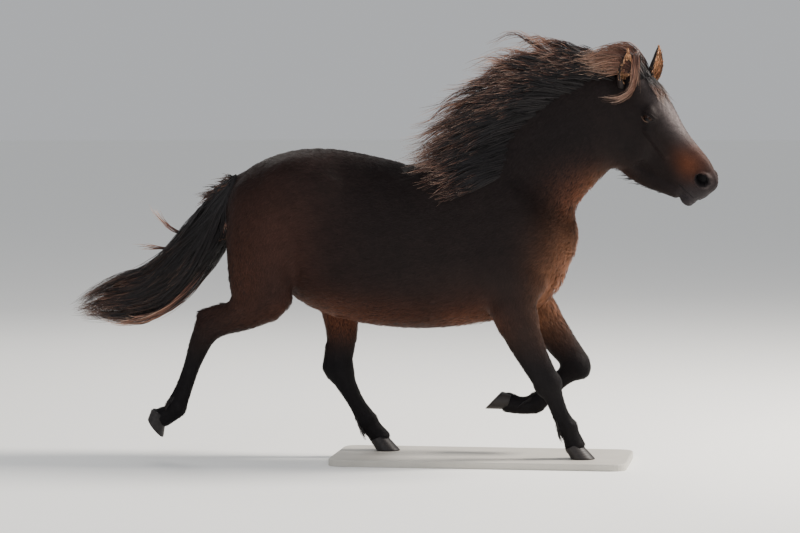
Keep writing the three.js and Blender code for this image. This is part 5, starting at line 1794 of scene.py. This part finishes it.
ROUND_THE_EAR = curve_through([
    (-212, 0, 62), (-256, -28, 112), (-254, -52, 112), (-224, -66, 94), (-194, -76, 72), (-160, -82, 44),
    (-134, -90, 12), (-134, -104, -28), (-150, -122, -62), (-180, -136, -92), (-212, -148, -116),
])
guides = point_at(ROUND_THE_EAR, t * hair_rng.uniform(0.55, 1.0, (ROUND_EAR, 1)))
guides += hair_rng.normal(0, 1, (ROUND_EAR, 1, 3)) * np.array([4, 4, 4]) * (0.3 + 2 * t[..., None])
guides = in_head(guides.reshape(-1, 3)).reshape(guides.shape)
guides[:, 1:] = clear_of_flesh(guides[:, 1:], 4)
facing = away_from_flesh(guides)
grow(guides, facing, 15, wide=7, thick=6, curl=5, fray=9, shortest=0.55, pale=1.0, begins=0.1)

x, y = hair_rng.uniform(-168, -140, ON_FOREHEAD), hair_rng.uniform(-28, 26, ON_FOREHEAD)
start = top_of_head(x, y, 7)
sideways = hair_rng.uniform(-0.32, 0.2, ON_FOREHEAD)
heading = np.stack([np.full(ON_FOREHEAD, 0.93), sideways, np.full(ON_FOREHEAD, 0.1)], 1) @ HEAD_AXES
reach = hair_rng.uniform(80, 165, (ON_FOREHEAD, 1))
guides = start[:, None] + heading[:, None] * (reach * t)[..., None]
guides += HEAD_AXES[2] * (9 * np.sin(math.pi * t))[..., None]
guides += HEAD_AXES[1] * (12 * t * np.sin(hair_rng.uniform(0, 6, (ON_FOREHEAD, 1)) + 4 * t))[..., None]
guides[:, 1:] = clear_of_flesh(guides[:, 1:], 3)
grow(guides, HEAD_AXES[2], 18, wide=10, thick=4, curl=4, fray=6, shortest=0.55, pale=0.35, begins=0.3)
print("locks of the forelock", BLOWN_BACK + ROUND_EAR + ON_FOREHEAD)

# %% [markdown]
# Long hair hangs under the jaw, from below the cheek nearly to the chin, and is blown back a little.

# %% Beard
BEARD = 96
x = hair_rng.uniform(-15, 300, BEARD)
y = hair_rng.uniform(-1, 1, BEARD) * np.interp(x, [-50, 120, 300], [44, 36, 20])
start = in_head(np.stack([x, y, np.full(BEARD, -110.0)], 1))
down = np.repeat(-HEAD_AXES[2][None], BEARD, 0)
start = start + down * (reach_of(flesh, start, down) - 6)[:, None]
way = unit(-HEAD_AXES[2] - HEAD_AXES[0] * 0.6)
length = hair_rng.uniform(36, 66, (BEARD, 1)) * np.interp(x, [-50, 200, 300], [1.1, 1, 0.7])[:, None]
guides = start[:, None] + way * (length * t)[..., None] + np.array([-8, 0, 0]) * (t**2)[..., None]
grow(guides, HEAD_AXES[1], 7, wide=9, thick=6, curl=2, fray=6, shortest=0.5, pale=0.15)
forelock = gather()
ribbons("forelock_and_beard", forelock, hair_rng.uniform(1.6, 3.0, len(forelock[0])))

# %% [markdown]
# The tail is carried out behind and its hair streams away from the dock, full in the middle and
# drawn out to pale wisps. Each lock keeps its own place round the tail's middle line, in turns and
# in shares of the depth and the width, and follows it from one share of its length to another.

# %% Tail
TAIL_PATH = curve_through([
    # x, y, z, half the depth and half the width
    (-1066, 0, 1186, 44, 42),
    (-1140, 0, 1110, 78, 58),
    (-1208, 0, 990, 94, 70),
    (-1320, 0, 845, 104, 74),
    (-1455, 0, 727, 108, 70),
    (-1590, 0, 680, 112, 58),
    (-1705, 0, 655, 88, 40),
    (-1815, 0, 620, 30, 14),
])
TAIL_WAY = unit(np.gradient(TAIL_PATH[:, :3], axis=0))
TAIL_ROWS = [
    # locks, strands in each, share of the depth and width, where they start and end, paleness and its start
    (30, 26, 0.96, 0.0, 0.8, 0.3, 0.85),
    (38, 26, 0.86, 0.12, 1.02, 0.5, 0.8),
    (22, 26, 0.5, 0.1, 1.0, 0.4, 0.85),
    (34, 26, 0.82, 0.42, 1.06, 0.45, 0.76),
]


def tail_spot(u, turn, share):
    row, way = point_at(TAIL_PATH, u), unit(point_at(TAIL_WAY, u))
    upward = np.stack([way[..., 2], 0 * u, -way[..., 0]], -1)
    spot = row[..., :3] + upward * (row[..., 3] * share * np.cos(turn))[..., None]
    spot[..., 1] += row[..., 4] * share * np.sin(turn)
    return spot


for locks, count, spread, starts_at, ends_at, pale, begins in TAIL_ROWS:
    turn = (2 * math.pi * np.arange(locks) / locks + hair_rng.uniform(-0.2, 0.2, locks))[:, None]
    begin = (starts_at + hair_rng.uniform(-0.02, 0.1, locks))[:, None].clip(0, 1)
    end = (ends_at * hair_rng.uniform(0.72, 1.03, locks))[:, None].clip(0, 1)
    phase, sway = hair_rng.uniform(0, 6, (locks, 1)), hair_rng.uniform(0.1, 0.4, (locks, 1))
    u = begin + (end - begin) * t
    hold = spread * np.minimum(0.5 + t * 1.8, 1)
    swaying = turn + sway * np.sin(phase + 5 * t)
    guides = tail_spot(u, swaying, hold * (1 + 0.1 * np.sin(phase * 2 + 9 * t)))
    guides = clear_of_flesh(guides, 2)
    outward = guides - point_at(TAIL_PATH, u)[..., :3]
    grow(guides, unit(outward + np.array([0.01, -6, 0])), count, wide=20, thick=9, curl=6, fray=13,
         shortest=0.6, pale=pale, begins=begins)
print("locks of the tail", sum(row[0] for row in TAIL_ROWS))

# %% [markdown]
# Short hair stands up where the tail leaves the croup and two wisps fly off above it. Loose golden
# hair hangs below it, and there are curls where it meets the buttock. All of it faces the near side.

# %% Loose hair of the tail
NEAR_WAY = np.array([0.0, -1.0, 0.0])
TUFT, WISP, LOOSE, CURLS = 26, 3, 26, 12
WISPS = [
    # where each leaves the tail, how far back it reaches and how high it rises
    (0.36, 150, 110),
    (0.44, 140, 10),
]
u = hair_rng.uniform(0.0, 0.16, (TUFT, 1)) + 0 * t
begin = tail_spot(u, hair_rng.uniform(-1.3, 1.3, (TUFT, 1)) + 0 * t, 0.5)
length = hair_rng.uniform(60, 120, (TUFT, 1))
up_and_back = unit(np.array([-0.9, 0, 0.25]) + hair_rng.normal(0, 0.16, (TUFT, 3)))
guides = begin + up_and_back[:, None] * (length * t)[..., None] - np.array([0, 0, 40]) * (t**2)[..., None]
guides = clear_of_flesh(guides, 2)
grow(guides, NEAR_WAY, 14, wide=12, thick=8, curl=3, fray=8, shortest=0.5, pale=0.3, begins=0.5)

for leaves_at, back_by, up_by in WISPS:
    u = leaves_at + hair_rng.uniform(-0.01, 0.01, (WISP, 1)) + 0 * t
    guides = tail_spot(u, 0 * u, 0.8)
    guides = guides + np.stack([0 * u - back_by * t, 0 * u - 20 * t, 0 * u + up_by * t**1.9], -1)
    grow(guides, NEAR_WAY, 4, wide=3, thick=2, curl=5, fray=12, shortest=0.75, pale=2.0, begins=0.2)

u = hair_rng.uniform(0.34, 0.6, (LOOSE, 1)) + hair_rng.uniform(0.16, 0.36, (LOOSE, 1)) * t
turn = math.pi + hair_rng.uniform(-0.7, 0.7, (LOOSE, 1))
guides = tail_spot(u, turn + 0 * t, hair_rng.uniform(0.9, 1.1, (LOOSE, 1)) + 0.12 * np.sin(3 * t))
grow(guides, NEAR_WAY, 5, wide=6, thick=5, curl=6, fray=9, shortest=0.6, pale=1.6, begins=0.15)

u = hair_rng.uniform(0.1, 0.3, (CURLS, 1)) + hair_rng.uniform(0.06, 0.14, (CURLS, 1)) * t
guides = tail_spot(u, math.pi + hair_rng.uniform(-0.9, 0.9, (CURLS, 1)) + 0 * t, 1.05)
guides += 12 * np.sin(hair_rng.uniform(0, 6, (CURLS, 1, 3)) + 9 * t[..., None]) * t[..., None]
guides = clear_of_flesh(guides, 3)
grow(guides, NEAR_WAY, 8, wide=8, thick=6, curl=12, fray=9, shortest=0.5, pale=0.8, begins=0.2)
tail = gather()
ribbons("tail_hair", tail, hair_rng.uniform(2.4, 4.2, len(tail[0])), "tail")

# %% [markdown]
# Feather is the long hair behind each fetlock. It grows in a band round the back of the leg and
# hangs over the heel.

# %% Feather behind the fetlocks
FEATHER = 16
for leg in LEGS.values():
    cannon_rows, pastern_rows = leg["rows"][1:]
    above, fetlock = np.array(cannon_rows[-2][:3], float), np.array(pastern_rows[0][:3], float)
    down = unit(fetlock - above)
    behind = unit(np.array([down[2], 0, -down[0]]))
    around = hair_rng.uniform(-1, 1, FEATHER)[:, None]
    out = unit(behind + np.array([0, 1, 0]) * around * 0.8)
    start = fetlock + down * hair_rng.uniform(-55, 12, (FEATHER, 1))
    start = start + out * (reach_of(flesh, start, out) - 4)[:, None]
    stream = unit(down + out * 0.45)
    length = hair_rng.uniform(34, 72, (FEATHER, 1))
    guides = start[:, None] + stream[:, None] * (length * t)[..., None] - out[:, None] * (14 * t**2)[..., None]
    grow(guides, out[:, None], 12, wide=8, thick=4, curl=2, fray=4, shortest=0.5, pale=0.05)
feather = gather()
ribbons("feather", feather, hair_rng.uniform(1.4, 2.6, len(feather[0])))

# %% [markdown]
# ## Ears
#
# A horse's ear is a rolled sheet of gristle: nearly closed at its root, open to the front in its
# middle, closed again at its pointed tip. Each level is a crescent with an outer and an inner arc.

# %% Ears
EARS = [
    # name, root, tip and the way the opening faces, in the head's frame
    ("ear_left", (-150, 58, 46), (-240, 72, 158), (0.2, -0.1, 0.95)),
    ("ear_right", (-186, -72, -8), (-284, -78, 104), (0.3, -0.6, 0.7)),
]
EAR_ROWS = [
    # share of the length, half width, depth behind, depth before, half of the gap in degrees
    (-0.14, 24, 22, 20, 10),
    (0.0, 31, 27, 24, 14),
    (0.12, 35, 28, 24, 34),
    (0.26, 37, 27, 20, 50),
    (0.42, 36, 25, 16, 56),
    (0.58, 31, 20, 12, 54),
    (0.74, 23, 15, 8, 46),
    (0.87, 13, 10, 5, 34),
    (0.96, 6, 5, 3, 20),
    (1.0, 2, 2, 1, 10),
]
ARC = 14  # points on each arc
EAR_WALL = 4.0
EAR_RIM = np.array(srgb(30, 24, 23))
EAR_INSIDE = np.array(srgb(186, 140, 106))
ear_paint, ear_tree, ear_shader = new_material("ear_skin", 0.6, 0.3)
ear_tree.links.new(colour_layer(ear_tree), ear_shader.inputs["Base Color"])
bump(ear_tree, ear_shader, noise(ear_tree, 400.0, 3.0), 0.001, 0.5)


def ring_faces(rings, size):
    """Quads between closed rings of points, the rings numbered one after the other."""
    r, i = np.arange(rings - 1)[:, None] * size, np.arange(size)[None]
    a, b = r + i, r + (i + 1) % size
    return np.stack([a, b, b + size, a + size], -1).reshape(-1, 4)


def make_ear(name, root, tip, opening):
    """Makes an ear and returns its rings of points and the way to its front."""
    base, tip = in_head(root), in_head(tip)
    up, ear_length = unit(tip - base), np.linalg.norm(tip - base)
    front = np.array(opening) @ HEAD_AXES
    front = unit(front - up * (front @ up))
    across = np.cross(up, front)
    places, shades, rings = [], [], smooth_rows(EAR_ROWS, 3)
    for share, wide, behind, before, gap in rings:
        bend = 10 * math.sin(math.pi * max(share, 0)) - 8 * share * share
        centre = base + up * share * ear_length + front * bend
        wall, gap = min(EAR_WALL, 0.32 * wide), math.radians(gap)
        outer_arc = np.linspace(gap, 2 * math.pi - gap, ARC)
        near_tip = 0.6 * max(share - 0.7, 0) / 0.3
        for arc, inset, inner in ((outer_arc, 0, False), (outer_arc[::-1], wall, True)):
            for i, a in enumerate(arc):
                amid = math.sin(math.pi * i / (ARC - 1))
                narrow = inset * (0.3 + 0.7 * amid)
                deep = before if math.cos(a) > 0 else behind
                side_to_side = across * (wide - narrow) * math.sin(a)
                places.append(centre + side_to_side + front * (deep - narrow) * math.cos(a))
                edge = 1 - amid
                tone = EAR_INSIDE * (0.5 - 0.2 * edge) if inner else SEAL * 1.15
                shades.append(tone + (EAR_RIM - tone) * min(1, edge**3 + near_tip))
    faces = ring_faces(len(rings), 2 * ARC)
    make_piece(name, places, faces, ear_paint, name, slot="coat", colour=np.array(shades))
    return np.array(places).reshape(len(rings), 2 * ARC, 3), front


made_ears = [make_ear(*ear) for ear in EARS]

# %% [markdown]
# The ear carries its own short coat: dark and close outside, longer and paler inside, where it
# keeps dust out. Its hairs are the same blades as those of the body's coat.

# %% Coat of the ears
EAR_HAIRS = 2600
ear_hairs = []


def ear_hair(grid, front):
    """One hair: its root, the way it lies, the way across it, its length and its colour."""
    rings, size = grid.shape[:2]
    r, i = hair_rng.uniform(2, rings - 1.2), hair_rng.integers(0, size - 1)
    low = int(r)
    f, g = r - low, hair_rng.random()
    a = grid[low, i] * (1 - g) + grid[low, i + 1] * g
    b = grid[low + 1, i] * (1 - g) + grid[low + 1, i + 1] * g
    inner = i >= ARC
    out = np.cross(grid[low, i + 1] - grid[low, i], grid[low + 1, i] - grid[low, i])
    out = out / (np.linalg.norm(out) + 1e-9)
    way = unit(b - a + hair_rng.normal(0, 0.8, 3))
    if inner:
        way = unit(way + front * 0.4 * hair_rng.random())
    shorter = 1 - 0.6 * smoothstep(rings - 9, rings - 3, r)
    length = (hair_rng.uniform(14, 26) if inner else hair_rng.uniform(6, 10)) * shorter
    tone = EAR_INSIDE if inner else SEAL * 1.2
    shade = tone * hair_rng.lognormal(-0.1, 0.6 if inner else 0.2)
    return a * (1 - f) + b * f, way, unit(np.cross(out, way)), [length], shade


for grid, front in made_ears:
    ear_hairs += [ear_hair(grid, front) for _ in range(EAR_HAIRS)]
root, way, side, length, shade = (np.array(column) for column in zip(*ear_hairs))
out = np.cross(way, side)
half = length * 0.06
ear_blades = np.stack([
    root - side * half,
    root + side * half,
    root + way * length * 0.5 - side * half + out * length * 0.1,
    root + way * length * 0.5 + side * half + out * length * 0.1,
    root + way * length + out * length * 0.08,
], 1)
ear_uv = (nearest_uv(root)[:, None] + PATCH[None])[:, BLADE_FACES].reshape(-1, 2)
make_piece("coat_ears", ear_blades.reshape(-1, 3), blade_faces(len(root)), coat_paint, slot="coat",
           colour=np.repeat(shade, 5, 0), uv_corners=ear_uv)

# %% [markdown]
# ## Eyes
#
# A horse's eye is large, dark and wet, with a wide pupil lying level. The ball is one mesh whose
# front swells a little as the cornea does. Iris and pupil are painted by distance from the
# eye's own axis, kept as an attribute because the axis isn't along X, Y or Z.

# %% Eyes
EYE_WHITE = np.array(srgb(36, 26, 22))
IRIS = np.array(srgb(36, 21, 14))
IRIS_RIM = np.array(srgb(20, 13, 10))
PUPIL = np.array(srgb(6, 6, 9))
PUPIL_LENGTH, PUPIL_HEIGHT = 0.42, 0.22  # shares of the ball's radius
EYE_FORWARD = 0.16  # how far the axis is turned to the front
LEVEL_TILT = EYE_TILT * 0.55  # the pupil lies nearer to level than the lids do
BEHIND = 9  # any share that is well outside the iris, for the back of the ball
eye_paint, eye_tree, eye_shader = new_material("wet_eye", 0.08, 0.08)
eye_shader.inputs["Coat Weight"].default_value = 0.12
eye_shader.inputs["Coat Roughness"].default_value = 0.02
eye_tree.links.new(colour_layer(eye_tree), eye_shader.inputs["Base Color"])


def eye_axes(s):
    outward = unit(np.array([EYE_FORWARD, s, 0.0]))
    level = np.array([math.cos(LEVEL_TILT), 0, math.sin(LEVEL_TILT)])
    level = unit(level - outward * EYE_FORWARD * math.cos(LEVEL_TILT))
    return np.stack([level, np.cross(outward, level), outward])


def eye_colour(ball, off_axis, in_front):
    radius = np.where(in_front, off_axis, BEHIND)
    about = np.arctan2(ball[:, 1], ball[:, 0])
    spokes = 0.5 + 0.5 * np.sin(about * 29) * np.sin(about * 11)
    paint = EYE_WHITE + (IRIS_RIM - EYE_WHITE) * smoothstep(0.95, 0.85, radius)[:, None]
    iris = IRIS * (0.7 + 0.6 * spokes[:, None])
    paint = paint + (iris - paint) * smoothstep(0.8, 0.68, radius)[:, None]
    oval = np.where(in_front, np.hypot(ball[:, 0] / PUPIL_LENGTH, ball[:, 1] / PUPIL_HEIGHT), BEHIND)
    return paint + (PUPIL - paint) * smoothstep(1.1, 0.95, oval)[:, None]


for s, name in ((1, "eye_left"), (-1, "eye_right")):
    bm = bmesh.new()
    bmesh.ops.create_uvsphere(bm, u_segments=72, v_segments=48, radius=1.0)
    ball = np.array([v.co for v in bm.verts])
    ball_faces = [[v.index for v in face.verts] for face in bm.faces]
    bm.free()
    off_axis, in_front = np.hypot(ball[:, 0], ball[:, 1]), ball[:, 2] > 0
    swell = 1 + 0.05 * in_front * smoothstep(0.62, 0.0, off_axis)
    local = (ball * swell[:, None]) @ eye_axes(s) * EYE_RADIUS + eye_centres[s]
    made = bpy.data.meshes.new(name)
    made.from_pydata(to_metres(in_head(local)).tolist(), [], sorted(ball_faces, key=len, reverse=True))
    set_colours(made, eye_colour(ball, off_axis, in_front))
    make_smooth(made)
    finish_piece(name, made, eye_paint, name, slot="eye")
print("eyes", 2 * EYE_RADIUS, "mm across")

# %% [markdown]
# ## Hooves
#
# The wall slopes at about fifty degrees and grows down in faint rings from a soft rim at the
# coronet. Underneath, the sole is a shallow dish. The hoof is a stack of rings, from the middle of
# the sole out to its edge, up the wall and in again over the coronet.

# %% Hooves
HOOF = {"length": 114, "width": 108, "front": 70, "back": 40, "slope": 52}
ROUND = 56  # points on each ring
SOLE_UNIT = 60  # the sole's depths are shares of this many millimetres
SOLE_RINGS = [(0.0, 0.05), (0.07, 0.3), (0.06, 0.6), (0.02, 0.82), (0.0, 0.88), (0.0, 0.94)]
WALL_RINGS = 24
WALL_SHARES, WALL_SIZES = [0.03, 0.08, 0.5, 0.9], [0.985, 1.0, 0.925, 0.858]
RIDGE = 0.006  # how much the rings of growth stand out, as a share of the hoof's size
CORONET_RINGS = [(0.93, 0.865), (0.97, 0.855), (1.0, 0.83), (1.01, 0.78), (1.0, 0.6), (0.98, 0.05)]
horn_paint, horn_tree, horn_shader = new_material("horn", 0.5, 0.25)
horn_noise = noise(horn_tree, 60.0, 4.0)
horn_colour = mix_colour(horn_tree, horn_noise, srgb(20, 19, 21), srgb(56, 51, 50))
horn_tree.links.new(horn_colour, horn_shader.inputs["Base Color"])
bump(horn_tree, horn_shader, horn_noise, 0.0008, 0.4)


def hoof_ring(share, size):
    """One ring at a share of the wall's height, with the heel narrower and notched behind."""
    turn = np.linspace(0, 2 * math.pi, ROUND, endpoint=False)
    c, s = np.cos(turn), np.sin(turn)
    slant = 1 / math.tan(math.radians(HOOF["slope"]))
    reach = np.where(c > 0, HOOF["length"] * 0.54, HOOF["length"] * 0.44)
    heel = 1 - 0.25 * np.maximum(-c - 0.6, 0)
    notch = 1 - 0.1 * np.exp(-((turn - math.pi) / 0.22) ** 2)
    high = share * (HOOF["back"] + (c + 1) / 2 * (HOOF["front"] - HOOF["back"]))
    forward = c * reach * size * heel * notch - high * slant
    return np.stack([forward, s * HOOF["width"] * size / 2 * notch, high], 1)


rings = []
for depth, size in SOLE_RINGS:
    ring = hoof_ring(0, size)
    ring[:, 2] = depth * SOLE_UNIT
    rings.append(ring)
for share in np.linspace(WALL_SHARES[0], WALL_SHARES[-1], WALL_RINGS):
    size = np.interp(share, WALL_SHARES, WALL_SIZES) + RIDGE * math.sin(share * 46)
    rings.append(hoof_ring(share, size))
rings += [hoof_ring(share, size) for share, size in CORONET_RINGS]
places = np.concatenate(rings)
for name, leg in LEGS.items():
    pitch = math.radians(leg["pitch"])
    cos, sin = math.cos(pitch), math.sin(pitch)
    x, y, z = places.T
    placed = np.stack([x * cos - z * sin, y, x * sin + z * cos], 1) + np.array(leg["sole"])
    faces = ring_faces(len(rings), ROUND)
    make_piece(f"hoof_{name}", placed, faces, horn_paint, f"hoof_{name}", slot="horn")

# %% [markdown]
# ## Base
#
# The base is flat and plain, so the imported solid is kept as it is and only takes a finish: pale
# painted board, not quite even, with a soft gloss.

# %% Base
board, board_tree, board_shader = new_material("painted_board", 0.5, 0.3)
cloud = noise(board_tree, 9.0, 6.0)
board_colour = mix_colour(board_tree, cloud, srgb(176, 172, 164), srgb(196, 192, 184))
board_tree.links.new(board_colour, board_shader.inputs["Base Color"])
bump(board_tree, board_shader, noise(board_tree, 220.0, 2.0), 0.0004, 0.3)
for part in bpy.context.scene.objects:
    if part.get("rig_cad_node") == "stand_base":
        for holder in part.material_slots:
            holder.material = board
        print("base", part.name, "painted")

# %% Sizes
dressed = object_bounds()
size = {
    "cad_low": list(cad_box[0]),
    "cad_high": list(cad_box[1]),
    "visual_low": list(dressed[0]),
    "visual_high": list(dressed[1]),
}
meshes = [piece.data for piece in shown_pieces() if piece.type == "MESH"]
total = sum(len(made.loops) - 2 * len(made.polygons) for made in meshes)
print("triangles", total, "box", {k: [round(c, 3) for c in v] for k, v in size.items()})
